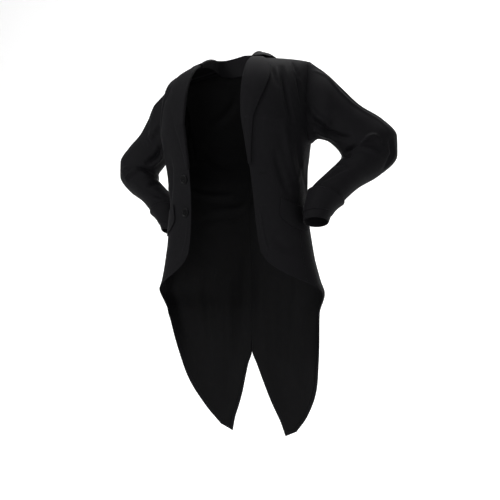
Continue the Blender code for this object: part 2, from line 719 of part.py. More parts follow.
def linings(side, material):
    """Back and side linings, just inside the cloth and short of its turned-in edges."""
    label = "left" if side > 0 else "right"
    back = back_cuts()
    row = np.arange(len(back))
    tail_row = SHOULDER_ROWS + 1 + LOWER_ROWS
    outer = np.where(row > tail_row, TURN_IN, LINING_SEAM)
    centre = np.where(row > tail_row + VENT_START_ROWS, TURN_IN, LINING_SEAM)
    lining(f"lining_back_{label}", back, NECK_FACING, TURN_IN, outer, centre, side, material)
    edge = np.full(LOWER_ROWS + 1, LINING_SEAM)
    lining(f"lining_side_{label}", side_cuts(), LINING_SEAM, SKIRT_TURN_IN, edge, edge, side, material)


def build():
    for item in list(bpy.data.objects):
        bpy.data.objects.remove(item, do_unlink=True)
    wool = new_material("wool", (0.010, 0.010, 0.011), 0.85, 0.15)
    silk = new_material("lining", (0.006, 0.006, 0.007), 0.5)
    horn = new_material("button", (0.008, 0.008, 0.009), 0.35)
    for side in (1, -1):
        label = "left" if side > 0 else "right"
        cloth_panel(f"front_{label}", front_cuts(), ["top", "right"], side, wool)
        cloth_panel(f"side_{label}", side_cuts(), ["left", "right"], side, wool)
        cloth_panel(f"back_{label}", back_cuts(), ["top", "left", "right"], side, wool)
        sleeve_pieces(side, wool)
        cuff(side, wool)
        lapel(side, wool)
        flap(side, wool)
        linings(side, silk)
    collar(wool)
    for name, height in BUTTON_HEIGHTS.items():
        button(name, height, horn)


build()
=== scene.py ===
"""Looks for the white tie tailcoat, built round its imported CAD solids.

Every piece of cloth is a thin shell on its solid's own form, on a finer grid, with its creases
laid on as soft troughs and ridges. Metres, +Z up, the wearer faces -Y and their left is +X.
"""

from collections import namedtuple

import bpy
import numpy as np
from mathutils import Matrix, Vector


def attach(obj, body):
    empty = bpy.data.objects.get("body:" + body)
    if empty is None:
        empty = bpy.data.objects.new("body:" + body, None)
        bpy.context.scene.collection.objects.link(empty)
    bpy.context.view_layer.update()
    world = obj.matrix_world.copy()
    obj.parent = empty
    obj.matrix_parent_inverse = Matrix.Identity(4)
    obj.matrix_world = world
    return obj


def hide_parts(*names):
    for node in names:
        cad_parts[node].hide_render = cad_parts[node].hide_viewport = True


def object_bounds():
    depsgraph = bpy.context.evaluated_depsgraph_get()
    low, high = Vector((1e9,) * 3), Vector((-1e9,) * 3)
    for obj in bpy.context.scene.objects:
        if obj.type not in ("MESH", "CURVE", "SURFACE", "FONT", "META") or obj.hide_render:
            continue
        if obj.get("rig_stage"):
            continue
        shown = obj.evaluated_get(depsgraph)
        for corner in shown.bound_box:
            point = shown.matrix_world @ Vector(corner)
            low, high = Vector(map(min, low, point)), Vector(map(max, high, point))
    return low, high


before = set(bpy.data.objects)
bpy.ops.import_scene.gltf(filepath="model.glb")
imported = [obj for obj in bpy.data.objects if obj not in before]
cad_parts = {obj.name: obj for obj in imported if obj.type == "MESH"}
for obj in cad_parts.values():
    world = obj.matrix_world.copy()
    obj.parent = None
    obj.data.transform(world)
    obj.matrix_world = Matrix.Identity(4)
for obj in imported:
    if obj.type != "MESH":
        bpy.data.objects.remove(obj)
CAD_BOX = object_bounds()

bl_info = {
    "name": "White tie tailcoat",
    "version": (1, 0, 0),
    "blender": (4, 5, 0),
    "location": "View3D > Sidebar > Tailcoat",
    "description": "Builds the cloth, linings, buttons and stage of a white tie tailcoat",
    "category": "Object",
}

# Cloth and seams
CLOTH = 0.002
LINING = 0.001
SEAM_GAP = 0.0003
LINING_SEAM = 0.0005
LAPEL_GAP = 0.0024
COLLAR_GAP = 0.0036
COLLAR_INSET = 0.0028
FLAP_GAP = 0.0018
SLEEVE_GAP = 0.0010

# Shoulders and neck: heights, half widths, and how full the shoulder's curve is
CHEST = -0.210
RIDGE = 0.020
NECK_HALF = 0.075
SHOULDER_HALF = 0.205
SHOULDER_SLOPE = 0.14
SHOULDER_DROP = 0.010
FRONT_FULL = 2.4
BACK_FULL = 2.6
CHEST_ROW = -0.198
BEHIND_RIDGE = RIDGE + 1e-6
SHOULDER_POINTS = 6

# The body is a stack of rounded oblongs, one for each height.
Section = namedtuple("Section", "height half_width front_depth back_depth front_square back_square")
TORSO = [
    Section(-0.210, 0.212, 0.160, 0.104, 2.5, 2.5),
    Section(-0.260, 0.206, 0.143, 0.100, 2.4, 2.5),
    Section(-0.330, 0.196, 0.122, 0.092, 2.3, 2.4),
    Section(-0.400, 0.195, 0.106, 0.092, 2.3, 2.4),
    Section(-0.470, 0.203, 0.098, 0.100, 2.2, 2.4),
    Section(-0.560, 0.217, 0.093, 0.110, 2.1, 2.4),
    Section(-0.615, 0.230, 0.091, 0.112, 2.0, 2.5),
    Section(-0.648, 0.241, 0.090, 0.112, 2.0, 2.6),
    Section(-0.700, 0.226, 0.090, 0.110, 2.0, 2.8),
    Section(-0.820, 0.223, 0.090, 0.113, 2.0, 3.2),
    Section(-0.930, 0.224, 0.090, 0.134, 2.0, 3.6),
    Section(-1.070, 0.225, 0.090, 0.166, 2.0, 4.0),
]

# Cut edges of the panels. The angle is in degrees round the body, 0 at centre front and 180 at
# centre back.
Cut = namedtuple("Cut", "angle height")


def edge_line(*rows):
    """A cut edge from its (angle, height) rows."""
    return [Cut(*row) for row in rows]


FRONT_EDGE = edge_line(
    (27.7, -0.200), (31.6, -0.260), (36.7, -0.323), (42.6, -0.404), (46.5, -0.473),
    (49.0, -0.515), (51.2, -0.540),
)
CUTAWAY_HEM = edge_line(
    (51.2, -0.540), (56.0, -0.562), (63.0, -0.581), (74.6, -0.607), (80.5, -0.619)
)
SKIRT_CORNER = edge_line(
    (80.5, -0.619), (85.5, -0.632), (90.0, -0.648), (92.6, -0.668), (94.0, -0.692)
)
ARMHOLE_FRONT = edge_line((80.5, -0.050), (79.6, -0.100), (80.2, -0.170), (84.0, -0.232))
ARMHOLE_BASE = edge_line((84.0, -0.232), (90.0, -0.247), (97.0, -0.245), (104.0, -0.225))
ARMHOLE_BACK = edge_line((105.0, -0.050), (109.5, -0.100), (109.5, -0.170), (104.0, -0.225))
FRONT_SIDE_SEAM = edge_line((84.0, -0.232), (79.5, -0.350), (79.0, -0.470), (80.5, -0.619))
BACK_SIDE_SEAM = edge_line((104.0, -0.225), (101.0, -0.380), (97.0, -0.560), (94.0, -0.692))
TAIL_OUTER = edge_line(
    (94.0, -0.692), (104.3, -0.806), (114.7, -0.900), (131.0, -0.998), (142.7, -1.049)
)
TAIL_VENT = edge_line(
    (180.0, -0.815), (170.8, -0.874), (161.1, -0.967), (155.4, -1.019), (152.8, -1.067)
)

# Neckline and collar, in plan: x across and y from front (-) to back (+), left half, front to back.
Neck = namedtuple("Neck", "x y stand fall_x fall_y")
NECKLINE = [
    Neck(0.0765, -0.070, 0.006, 0.118, -0.056),
    Neck(0.0758, -0.040, 0.015, 0.121, -0.034),
    Neck(0.0752, -0.005, 0.025, 0.121, 0.000),
    Neck(0.0750, 0.020, 0.030, 0.117, 0.028),
    Neck(0.0700, 0.040, 0.037, 0.101, 0.054),
    Neck(0.0550, 0.053, 0.044, 0.074, 0.073),
    Neck(0.0300, 0.060, 0.050, 0.040, 0.081),
    Neck(0.0000, 0.062, 0.052, 0.000, 0.083),
]

# Collar: how far its stand leans in for its height, how far it starts below the neckline, the
# fold's top and outer points past the stand's top, and the fall's bulge
Offset = namedtuple("Offset", "out up")
COLLAR_LEAN = 0.12
COLLAR_BELOW = 0.002
COLLAR_FOLD = [Offset(0.0012, 0.0042), Offset(0.0050, 0.0022)]
COLLAR_BELLY = Offset(0.002, 0.003)

# Lapel: how far across its outer edge lies at each height. It folds on the front edge.
LapelRow = namedtuple("LapelRow", "height outer_x")
LAPEL = [
    LapelRow(-0.021, 0.106),
    LapelRow(-0.042, 0.130),
    LapelRow(-0.062, 0.138),
    LapelRow(-0.090, 0.141),
    LapelRow(-0.120, 0.136),
    LapelRow(-0.150, 0.128),
    LapelRow(-0.180, 0.118),
    LapelRow(-0.215, 0.108),
    LapelRow(-0.260, 0.099),
    LapelRow(-0.318, 0.0905),
]
LAPEL_ROWS = 11

# Lapel columns: share of the way across, and how far the wall's middle lies off the front.
# The first two columns roll past the fold by these lengths.
LapelColumn = namedtuple("LapelColumn", "share lift")
LAPEL_LAY = CLOTH + LAPEL_GAP + CLOTH / 2
LAPEL_COLUMNS = [
    LapelColumn(0.0, 0.0008),
    LapelColumn(0.0, LAPEL_LAY),
    LapelColumn(0.34, LAPEL_LAY + 0.0010),
    LapelColumn(0.67, LAPEL_LAY + 0.0012),
    LapelColumn(1.0, LAPEL_LAY),
]
LAPEL_ROLL = [0.0022, 0.0002]

# Sleeve: crook-side point, elbow-side point and half breadth of each ring, from the shoulder down
Ring = namedtuple("Ring", "station in_x in_y in_z out_x out_y out_z half_breadth")
SLEEVE = [
    Ring(1.0, 0.236, -0.004, -0.239, 0.233, 0.034, -0.053, 0.053),
    Ring(2.0, 0.258, 0.006, -0.242, 0.277, 0.050, -0.099, 0.053),
    Ring(3.0, 0.277, 0.013, -0.256, 0.327, 0.066, -0.152, 0.053),
    Ring(4.0, 0.289, 0.017, -0.272, 0.382, 0.084, -0.190, 0.054),
    Ring(5.0, 0.294, 0.018, -0.285, 0.420, 0.090, -0.239, 0.055),
    Ring(6.0, 0.292, 0.014, -0.297, 0.421, 0.082, -0.290, 0.054),
    Ring(7.0, 0.281, 0.003, -0.314, 0.384, 0.050, -0.338, 0.052),
    Ring(8.0, 0.256, -0.019, -0.344, 0.335, 0.018, -0.373, 0.049),
    Ring(9.0, 0.224, -0.043, -0.386, 0.297, -0.011, -0.415, 0.046),
    Ring(10.0, 0.213, -0.062, -0.444, 0.272, -0.025, -0.447, 0.041),
    Ring(11.0, 0.213, -0.064, -0.464, 0.264, -0.031, -0.470, 0.039),
]

# The right arm's hand rests further back: how far its rings lie back and in from the left's
Rest = namedtuple("Rest", "station back inward")
RIGHT_REST = [
    Rest(0.0, 0.000, 0.000),
    Rest(1.0, 0.000, 0.005),
    Rest(2.0, 0.000, 0.012),
    Rest(3.0, 0.000, 0.013),
    Rest(4.0, 0.000, 0.007),
    Rest(5.0, 0.000, 0.001),
    Rest(6.0, 0.006, 0.001),
    Rest(7.0, 0.024, 0.003),
    Rest(8.0, 0.052, 0.005),
    Rest(9.0, 0.080, 0.005),
    Rest(10.0, 0.098, 0.006),
    Rest(11.0, 0.103, 0.007),
]
BREADTH_AXIS = np.array([0.442, -0.852, 0.190]) / np.linalg.norm([0.442, -0.852, 0.190])
RING_COLUMNS = 16
HIND_SEAM_COLUMN = 1
INNER_SEAM_COLUMN = 8
CUFF_START = 9.0
CUFF_END = 10.0
CUFF_GAP = 0.0005

# How far the sleeve head's edge is tucked into the armhole seam, and over how many stations;
# stations over which its creases set in; how far the cuff's top stands out, and over how many
TUCK = 0.0035
TUCK_STATIONS = 0.12
CALM_STATIONS = 0.3
CUFF_FLARE = 0.0032
FLARE_STATIONS = 0.5

# Pocket flap, slanting down to the side
FLAP_TOP = edge_line((65.0, -0.404), (78.0, -0.421), (88.0, -0.430))
FLAP_BOTTOM = edge_line(
    (64.6, -0.446), (67.0, -0.458), (76.0, -0.480), (85.6, -0.487), (87.7, -0.480)
)

# Buttons on the wearer's right front. The profile is shares of the radius and the thickness, and
# its top starts at the rim's highest point. Holes: how far apart, their radius and depth, and how
# many radii out their brink starts.
BUTTON_RADIUS = 0.012
BUTTON_THICK = 0.004
BUTTON_FROM_EDGE = 0.019
BUTTON_PROFILE = [(0, 0), (0.6, 0), (1, 0.15), (1, 0.5), (0.88, 0.7), (0.7, 0.45), (0, 0.45)]
BUTTON_HEIGHTS = {"button_upper": -0.343, "button_lower": -0.430}
RIM_TOP_POINT = 4
BUTTON_RINGS = 70
BUTTON_TURNS = 120
LEAST_RADIUS = 1e-5
HOLE_SPREAD = 0.0024
HOLE_RADIUS = 0.0009
HOLE_DEPTH = 0.0010
HOLE_SOFTNESS = 1.6

# Silk twist: its radius, the sewing's bow over a button and its dip into the holes, and the
# worked buttonholes on the wearer's left front
THREAD_RADIUS = 0.0004
THREAD_SIDES = 8
SEWING_POINTS = 13
SEWING_BOW = 0.0004
SEWING_DIP = 0.8
BUTTONHOLE_HEIGHTS = [-0.343, -0.430]
BUTTONHOLE_FROM_EDGE = 0.016
BUTTONHOLE_LENGTH = 0.024
BUTTONHOLE_HALF_WIDTH = 0.0011
BUTTONHOLE_POINTS = 49
BUTTONHOLE_LIFT = 0.0001

# Lining stops short of the edges, where the cloth is turned in.
TURN_IN = 0.012
SKIRT_TURN_IN = 0.050
NECK_FACING = 0.010

# Rows and columns of the panels' grids
SHOULDER_ROWS = 5
FRONT_COLUMNS = 8
SIDE_COLUMNS = 4
BACK_COLUMNS = 8
LOWER_ROWS = 9
VENT_START_ROWS = 3
VENT_ROWS = 6
FLAP_COLUMNS = 6
FLAP_ROWS = 4

# Steps in degrees and metres for slopes, girth to a degree, the least share of a cell that an
# inset leaves, and the least length that a vector is divided by
TURN_STEP = 0.2
DROP_STEP = 0.0002
DEGREE_GIRTH = 0.0035
LEAST_SHARE = 0.02
TINY = 1e-12

# Fine grids: cells to one of the solid's cells, and the first and last shares that hold an edge
# crisp. Sleeves: stations of the fine and the plain grid, and those close to an end. Then how far
# a lining lies in, and the shares of the thickness by which a rim bulges and its faces draw in.
ROW_SPLIT = 9
COLUMN_SPLIT = 8
SLEEVE_SPLIT = 8
FLAP_SPLIT = 10
EDGE_SHARE = 0.05
FLAP_EDGE_SHARE = 0.08
PLAIN_SPLIT = 10
SLEEVE_STATIONS = 100
SLEEVE_EDGE = 0.03
SLEEVE_FIRST = 0.15
SLEEVE_LAST = 0.10
CUFF_STATIONS = 16
CUFF_EDGE = 0.04
LINING_LIFT = 0.0006
RIM_BULGE = 0.30
RIM_INSET = 0.25

# Creases: (angle, height) on the body, (station, column) on the sleeves, each through three
# places. Width and depth are metres; a negative depth is a trough and a positive one a ridge.
Crease = namedtuple("Crease", "start middle end width depth")
BODY_CREASES = [
    Crease((47.5, -0.060), (50.0, -0.090), (54.0, -0.125), 0.006, -0.0028),
    Crease((53.5, -0.050), (59.0, -0.130), (65.0, -0.225), 0.010, -0.0072),
    Crease((60.5, -0.022), (65.0, -0.050), (70.0, -0.080), 0.007, -0.0036),
    Crease((65.5, -0.066), (69.5, -0.100), (74.0, -0.170), 0.007, -0.0042),
    Crease((57.5, -0.210), (67.0, -0.290), (82.0, -0.388), 0.013, 0.0040),
    Crease((55.0, -0.280), (63.0, -0.340), (72.0, -0.402), 0.013, -0.0032),
    Crease((70.0, -0.230), (78.0, -0.300), (92.0, -0.372), 0.012, -0.0030),
    Crease((86.0, -0.300), (78.0, -0.350), (66.0, -0.372), 0.009, 0.0018),
    Crease((49.5, -0.440), (52.5, -0.490), (58.0, -0.547), 0.004, 0.0009),
    Crease((60.0, -0.500), (70.0, -0.530), (82.0, -0.520), 0.016, -0.0020),
    Crease((98.0, -0.270), (95.0, -0.350), (99.0, -0.430), 0.012, 0.0026),
    Crease((106.0, -0.130), (111.0, -0.190), (112.0, -0.270), 0.013, -0.0052),
    Crease((166.0, -0.050), (150.0, -0.090), (122.0, -0.150), 0.016, -0.0030),
    Crease((118.0, -0.200), (128.0, -0.250), (146.0, -0.285), 0.015, 0.0030),
    Crease((102.0, -0.345), (125.0, -0.365), (150.0, -0.358), 0.012, -0.0032),
    Crease((178.0, -0.385), (155.0, -0.402), (124.0, -0.398), 0.012, -0.0030),
    Crease((112.0, -0.440), (130.0, -0.425), (158.0, -0.432), 0.011, 0.0020),
    Crease((122.0, -0.560), (127.0, -0.720), (133.0, -0.930), 0.022, -0.0042),
    Crease((146.0, -0.600), (148.0, -0.780), (147.0, -0.990), 0.024, 0.0050),
    Crease((170.0, -0.520), (166.0, -0.700), (163.0, -0.930), 0.020, -0.0034),
    Crease((99.0, -0.560), (104.0, -0.680), (112.0, -0.800), 0.018, 0.0028),
]
LEFT_SLEEVE_CREASES = [
    Crease((0.2, 2.1), (2.2, 3.1), (5.0, 2.8), 0.006, 0.0014),
    Crease((0.3, 1.4), (2.3, 2.3), (4.8, 2.0), 0.010, -0.0022),
    Crease((0.15, 4.9), (2.1, 6.0), (4.1, 4.9), 0.010, -0.0050),
    Crease((0.1, 4.4), (0.8, 4.9), (1.9, 5.1), 0.009, 0.0028),
    Crease((0.4, 5.8), (1.7, 6.6), (3.1, 6.7), 0.010, 0.0030),
    Crease((5.3, 4.8), (4.8, 4.2), (5.8, 3.5), 0.007, 0.0034),
    Crease((5.4, 4.9), (6.0, 4.3), (6.6, 3.4), 0.007, 0.0026),
    Crease((5.6, 6.8), (5.2, 5.7), (5.2, 4.8), 0.008, -0.0048),
    Crease((5.9, 6.2), (6.3, 5.4), (6.9, 4.8), 0.008, -0.0034),
    Crease((5.2, 3.0), (6.3, 2.4), (6.9, 1.5), 0.011, -0.0034),
    Crease((7.3, 6.4), (7.4, 5.2), (7.5, 4.0), 0.009, -0.0026),
    Crease((7.5, 4.2), (8.1, 4.6), (8.7, 4.9), 0.008, -0.0022),
    Crease((3.0, 14.5), (4.2, 13.0), (5.0, 11.6), 0.011, -0.0040),
    Crease((4.9, 14.4), (5.6, 12.6), (5.8, 10.2), 0.010, 0.0034),
    Crease((6.9, 13.6), (6.2, 12.0), (5.9, 10.0), 0.010, -0.0036),
    Crease((0.3, 12.6), (1.4, 11.6), (2.9, 11.2), 0.012, -0.0042),
    Crease((7.2, 11.0), (8.0, 11.8), (8.9, 13.0), 0.010, -0.0024),
]
RIGHT_SLEEVE_CREASES = [
    Crease((0.3, 2.4), (2.0, 3.4), (4.6, 3.0), 0.007, 0.0013),
    Crease((0.15, 5.5), (1.9, 6.7), (4.1, 5.8), 0.011, -0.0046),
    Crease((0.4, 6.7), (2.4, 7.5), (4.0, 7.1), 0.010, 0.0030),
    Crease((0.2, 4.3), (1.4, 4.7), (2.8, 4.4), 0.012, 0.0026),
    Crease((5.4, 5.0), (4.9, 6.3), (5.4, 8.0), 0.009, -0.0046),
    Crease((6.8, 3.6), (6.3, 4.4), (5.7, 5.0), 0.008, 0.0034),
    Crease((6.1, 3.8), (5.6, 4.2), (5.1, 4.7), 0.008, 0.0026),
    Crease((6.2, 3.0), (5.6, 3.3), (4.9, 3.2), 0.009, -0.0026),
    Crease((7.8, 4.7), (7.5, 6.0), (7.3, 7.5), 0.009, -0.0028),
    Crease((8.0, 4.5), (8.5, 5.0), (8.7, 6.2), 0.009, -0.0024),
    Crease((3.2, 14.0), (4.1, 12.8), (5.2, 11.9), 0.011, -0.0038),
    Crease((5.0, 14.8), (5.5, 12.9), (5.9, 10.6), 0.011, 0.0032),
    Crease((6.7, 13.2), (6.1, 11.8), (5.7, 9.8), 0.010, -0.0034),
    Crease((0.4, 12.2), (1.6, 11.3), (2.6, 11.4), 0.012, -0.0040),
]

# The sleeves' share of those widths and depths, the steps a crease's line is read in, the power
# by which it fades to its ends, how much its banks rise, and how many widths off it is felt
SLEEVE_CREASE_WIDTH = 0.85
SLEEVE_CREASE_DEPTH = 1.9
CREASE_SEGMENTS = 22
CREASE_FADE = 0.7
CREASE_BANK = 0.6
CREASE_REACH = 4

# The right side's creases are the left's with small random changes, as degrees and metres of
# place and as shares of width and depth
RIGHT_SEED = 7
UNEVEN_PLACE = [1.6, 0.007]
UNEVEN_WIDTH = (0.85, 1.2)
UNEVEN_DEPTH = (0.7, 1.15)

# Finishes: threads to a metre, slant of the rib, and how far the shade wanders with the nap
Finish = namedtuple("Finish", "name roughness specular sheen threads slant relief wander")
WOOL = Finish("wool_cloth", 0.72, 0.05, 0.06, 850.0, 1.0, 0.35, 0.2)
SATIN = Finish("lining_satin", 0.60, 0.03, 0.00, 2600.0, 0.0, 0.12, 0.1)
SHEEN_ROUGHNESS = 0.45
SHEEN_TINT = (0.10, 0.10, 0.11, 1)
THREAD_HEIGHT = 0.0002
CROSS_THREAD = 0.35
NAP_DETAIL = 5.0
SILK_COLOUR = (0.003, 0.003, 0.0033, 1)
SILK_ROUGHNESS = 0.6
HORN_ROUGHNESS = 0.34
SOFT_GLOSS = 0.06
STREAK_STRETCH = (1.0, 1.0, 6.0)
STREAK_SCALE = 220.0
STREAK_DETAIL = 4.0
STREAK_SHADES = (0.6, 1.7)

# Stage: backdrop, lamps as a share of the key lamp's power, and camera
BACKDROP_BEND = 0.9
BACKDROP_BEND_ROWS = 24
BACKDROP_HALF_WIDTH = 7.0
BACKDROP_FRONT = -6.0
BACKDROP_TOP = 5.0
PAPER_COLOUR = (0.86, 0.86, 0.86, 1)
PAPER_ROUGHNESS = 0.9
WHITE = (1, 1, 1, 1)
Lamp = namedtuple("Lamp", "name place target size share")
MIDDLE = (0.0, 0.0, -0.45)
LAMPS = [
    Lamp("key", (-1.5, -2.2, 1.3), MIDDLE, 1.3, 1.0),
    Lamp("fill", (2.4, -1.6, 0.2), MIDDLE, 1.6, 0.22),
    Lamp("front", (0.5, -3.0, -0.5), (0.0, 0.0, -0.5), 1.4, 0.35),
    Lamp("top", (0.2, 0.5, 2.0), MIDDLE, 1.2, 0.5),
]
CAMERA_AZIMUTH = 22.24
CAMERA_ELEVATION = -3.58
CAMERA_DISTANCE = 1.464
CAMERA_TARGET = (0.04, 0.0, -0.53)
CAMERA_LENS = 38.6
CAMERA_SENSOR = 36.0


def through(knots, values, at):
    """A smooth curve with no overshoot through the knots (cubic Hermite, harmonic mean slopes)."""
    knots = np.asarray(knots, float)
    values = np.asarray(values, float)
    at = np.asarray(at, float)
    if knots[0] > knots[-1]:
        knots, values = knots[::-1], values[::-1]
    shape = (-1,) + (1,) * (values.ndim - 1)
    step = np.diff(knots).reshape(shape)
    rise = np.diff(values, axis=0) / step
    a, b = rise[:-1], rise[1:]
    w = (step[:-1] + 2 * step[1:], 2 * step[:-1] + step[1:])
    same = a * b > 0
    safe_a = np.where(same, a, 1.0)
    safe_b = np.where(same, b, 1.0)
    middle = np.where(same, (w[0] + w[1]) / (w[1] / safe_a + w[0] / safe_b), 0.0)
    slope = np.concatenate([rise[:1], middle, rise[-1:]])
    i = np.clip(np.searchsorted(knots, at, side="right") - 1, 0, len(knots) - 2)
    span = step[i].reshape(at.shape + (1,) * (values.ndim - 1))
    t = np.clip((at - knots[i]) / (knots[i + 1] - knots[i]), 0, 1).reshape(span.shape)
    return (
        (2 * t**3 - 3 * t**2 + 1) * values[i]
        + (t**3 - 2 * t**2 + t) * span * slope[i]
        + (3 * t**2 - 2 * t**3) * values[i + 1]
        + (t**3 - t**2) * span * slope[i + 1]
    )


def unit(vectors):
    """Vectors brought to length 1."""
    return vectors / np.maximum(np.linalg.norm(vectors, axis=-1, keepdims=True), TINY)


def side_name(side):
    """The wearer's left for 1, right for -1."""
    return "left" if side > 0 else "right"


HEIGHTS = np.array([row.height for row in TORSO])
SIZES = np.array([row[1:] for row in TORSO])


def sizes_at(height):
    """Half width, front and back depth, and front and back squareness at each height."""
    size = through(HEIGHTS, SIZES, np.clip(height, HEIGHTS[-1], CHEST))
    return np.moveaxis(size, -1, 0)


def body(cuts):
    """The body's surface at (angle, height): a superellipse that closes on the shoulder seam
    above the chest."""
    angle = np.radians(cuts[..., 0])
    height = cuts[..., 1]
    half, front, back, front_square, back_square = sizes_at(height)
    sine, cosine = np.sin(angle), np.cos(angle)
    ahead = cosine > 0
    depth = np.where(ahead, front, back)
    square = np.where(ahead, front_square, back_square)
    radius = (np.abs(sine / half) ** square + np.abs(cosine / depth) ** square) ** (-1 / square)
    x = radius * sine
    rise = np.clip(1 - height / CHEST, 0, 1)
    full = np.where(ahead, FRONT_FULL, BACK_FULL)
    closing = np.clip(1 - rise**full, 0, 1) ** (1 / full)
    y = RIDGE + (-radius * cosine - RIDGE) * closing
    z = height - (SHOULDER_DROP + SHOULDER_SLOPE * (np.abs(x) - NECK_HALF)) * rise
    return np.stack([x, y, z], -1)


def body_normal(cuts):
    """Outward unit normals of the body's surface, from its slopes in angle and height."""
    cuts = np.array(cuts, float)
    cuts[..., 1] = np.minimum(cuts[..., 1], -2 * DROP_STEP)
    turn = np.array([TURN_STEP, 0.0])
    drop = np.array([0.0, DROP_STEP])
    along = body(cuts + turn) - body(cuts - turn)
    down = body(cuts - drop) - body(cuts + drop)
    return unit(np.cross(down, along))


def plan_to_cut(x, y):
    """The (angle, height) above the chest whose surface point lies over (x, y)."""
    half, front, back, front_square, back_square = SIZES[0]
    ahead = y <= RIDGE
    depth = np.where(ahead, front, back)
    square = np.where(ahead, front_square, back_square)
    full = np.where(ahead, FRONT_FULL, BACK_FULL)
    reach = depth * (1 - np.abs(x / half) ** square) ** (1 / square)
    side = np.where(ahead, -1.0, 1.0)
    closing = np.clip((y - RIDGE) / (side * reach - RIDGE), 0, 1)
    rise = (1 - closing**full) ** (1 / full)
    angle = np.degrees(np.arctan2(x, -side * reach))
    return np.stack([angle, CHEST * (1 - rise)], -1)


def across_to_cut(x, height):
    """The (angle, height) on the front at which the surface lies x across."""
    half, front, _, square, _ = sizes_at(height)
    reach = front * (1 - (x / half) ** square) ** (1 / square)
    return np.stack([np.degrees(np.arctan2(x, reach)), height], -1)


def cuts_through(rows, heights):
    """Points of a cut edge at the given heights."""
    rows = np.array(rows, float)
    return np.stack([through(rows[:, 1], rows[:, 0], heights), heights], -1)


def lengths_along(points):
    """Distance of each point from the first, along the line through them."""
    steps = np.linalg.norm(np.diff(points, axis=0), axis=1)
    return np.concatenate([[0], np.cumsum(steps)])


def along(rows, count):
    """Points evenly spaced along a cut edge."""
    rows = np.array(rows, float)
    metric = rows * [DEGREE_GIRTH, 1.0]
    distance = lengths_along(metric)
    return through(distance, rows, np.linspace(0, distance[-1], count + 1))


def shoulder_heights(bottom):
    """Heights from the shoulder seam down to bottom, closest where the shoulder is roundest."""
    turn = np.radians(np.linspace(0, 90, SHOULDER_ROWS + 1))
    rows = CHEST * (1 - np.cos(turn) ** (2 / FRONT_FULL))
    return np.concatenate([rows[:-1] * CHEST_ROW / CHEST, [CHEST_ROW, bottom]])


def fill(left, right, top, bottom):
    """A Coons patch: rows from left and right edges, columns from top and bottom edges."""
    rows, columns = len(left), len(top)
    v = np.linspace(0, 1, rows)[:, None, None]
    u = np.linspace(0, 1, columns)[None, :, None]
    ruled = (1 - u) * left[:, None] + u * right[:, None]
    raised = (1 - v) * top[None] + v * bottom[None]
    corners = (1 - v) * ((1 - u) * top[0] + u * top[-1])
    corners += v * ((1 - u) * bottom[0] + u * bottom[-1])
    return ruled + raised - corners


def trim(points, edges, gap=SEAM_GAP / 2):
    """Draws the named edges of a grid in by half a seam gap."""
    points = points.copy()
    moves = {"top": (0, 1), "bottom": (-1, -2)}
    for edge in edges:
        if edge in moves:
            edge_row, next_row = moves[edge]
            step = points[next_row] - points[edge_row]
            points[edge_row] += gap * unit(step)
        else:
            column, beside = (0, 1) if edge == "left" else (-1, -2)
            step = points[:, beside] - points[:, column]
            points[:, column] += gap * unit(step)
    return points


def grid_normals(points, wrap=False):
    """Unit normals of a grid from its own slopes; columns join up when wrap is set."""
    down = np.gradient(points, axis=0)
    if wrap:
        aside = np.roll(points, -1, axis=1) - np.roll(points, 1, axis=1)
    else:
        aside = np.gradient(points, axis=1)
    return unit(np.cross(down, aside))


def mirrored(points, side):
    """The same points on the wearer's left (side 1) or right (side -1)."""
    return points * [side, 1, 1]


# Edges shared by the panels, worked out once on the left side


def neck_cuts():
    """The neckline's (angle, height) at each row of the neckline table."""
    rows = np.array(NECKLINE)
    return plan_to_cut(rows[:, 0], rows[:, 1])


def front_edge_cuts():
    """The whole front edge from the shoulder seam down: neckline, then front edge."""
    return list(neck_cuts()[:4][::-1]) + FRONT_EDGE


def front_rows():
    """Front panel edges: left is the neckline and front edge, right the armhole and side seam."""
    armhole = shoulder_heights(ARMHOLE_FRONT[-1].height)
    seam = np.linspace(ARMHOLE_FRONT[-1].height, FRONT_SIDE_SEAM[-1].height, LOWER_ROWS + 1)[1:]
    shoulder_end = plan_to_cut(np.array([SHOULDER_HALF]), np.array([RIDGE]))[0]
    right = np.concatenate(
        [
            cuts_through([shoulder_end] + ARMHOLE_FRONT, armhole),
            cuts_through(FRONT_SIDE_SEAM, seam),
        ]
    )
    lower = np.linspace(armhole[-1], FRONT_EDGE[-1].height, LOWER_ROWS + 1)[1:]
    left = cuts_through(front_edge_cuts(), np.concatenate([armhole, lower]))
    return left, right


def back_rows():
    """Back panel edges: left is the armhole, side seam and tail's outer edge, right the centre
    back and the vent."""
    armhole = shoulder_heights(ARMHOLE_BACK[-1].height)
    seam = np.linspace(ARMHOLE_BACK[-1].height, BACK_SIDE_SEAM[-1].height, LOWER_ROWS + 1)[1:]
    tail_start, tail_end = TAIL_OUTER[0].height, TAIL_OUTER[-1].height
    vent_top, vent_end = TAIL_VENT[0].height, TAIL_VENT[-1].height
    upper_tail = np.linspace(tail_start, vent_top, VENT_START_ROWS + 1)[1:]
    shoulder_end = plan_to_cut(np.array([SHOULDER_HALF]), np.array([BEHIND_RIDGE]))[0]
    outer = np.concatenate(
        [
            cuts_through([shoulder_end] + ARMHOLE_BACK, armhole),
            cuts_through(BACK_SIDE_SEAM, seam),
            cuts_through(TAIL_OUTER, upper_tail),
            cuts_through(TAIL_OUTER, np.linspace(vent_top, tail_end, VENT_ROWS + 1)[1:]),
        ]
    )
    nape = neck_cuts()[-1]
    centre_heights = np.concatenate([armhole, seam, upper_tail])
    centre_heights = nape[1] + (vent_top - nape[1]) * (centre_heights / vent_top)
    centre = np.stack([np.full(len(centre_heights), 180.0), centre_heights], -1)
    vent = cuts_through(TAIL_VENT, np.linspace(vent_top, vent_end, VENT_ROWS + 1)[1:])
    return outer, np.concatenate([centre, vent])


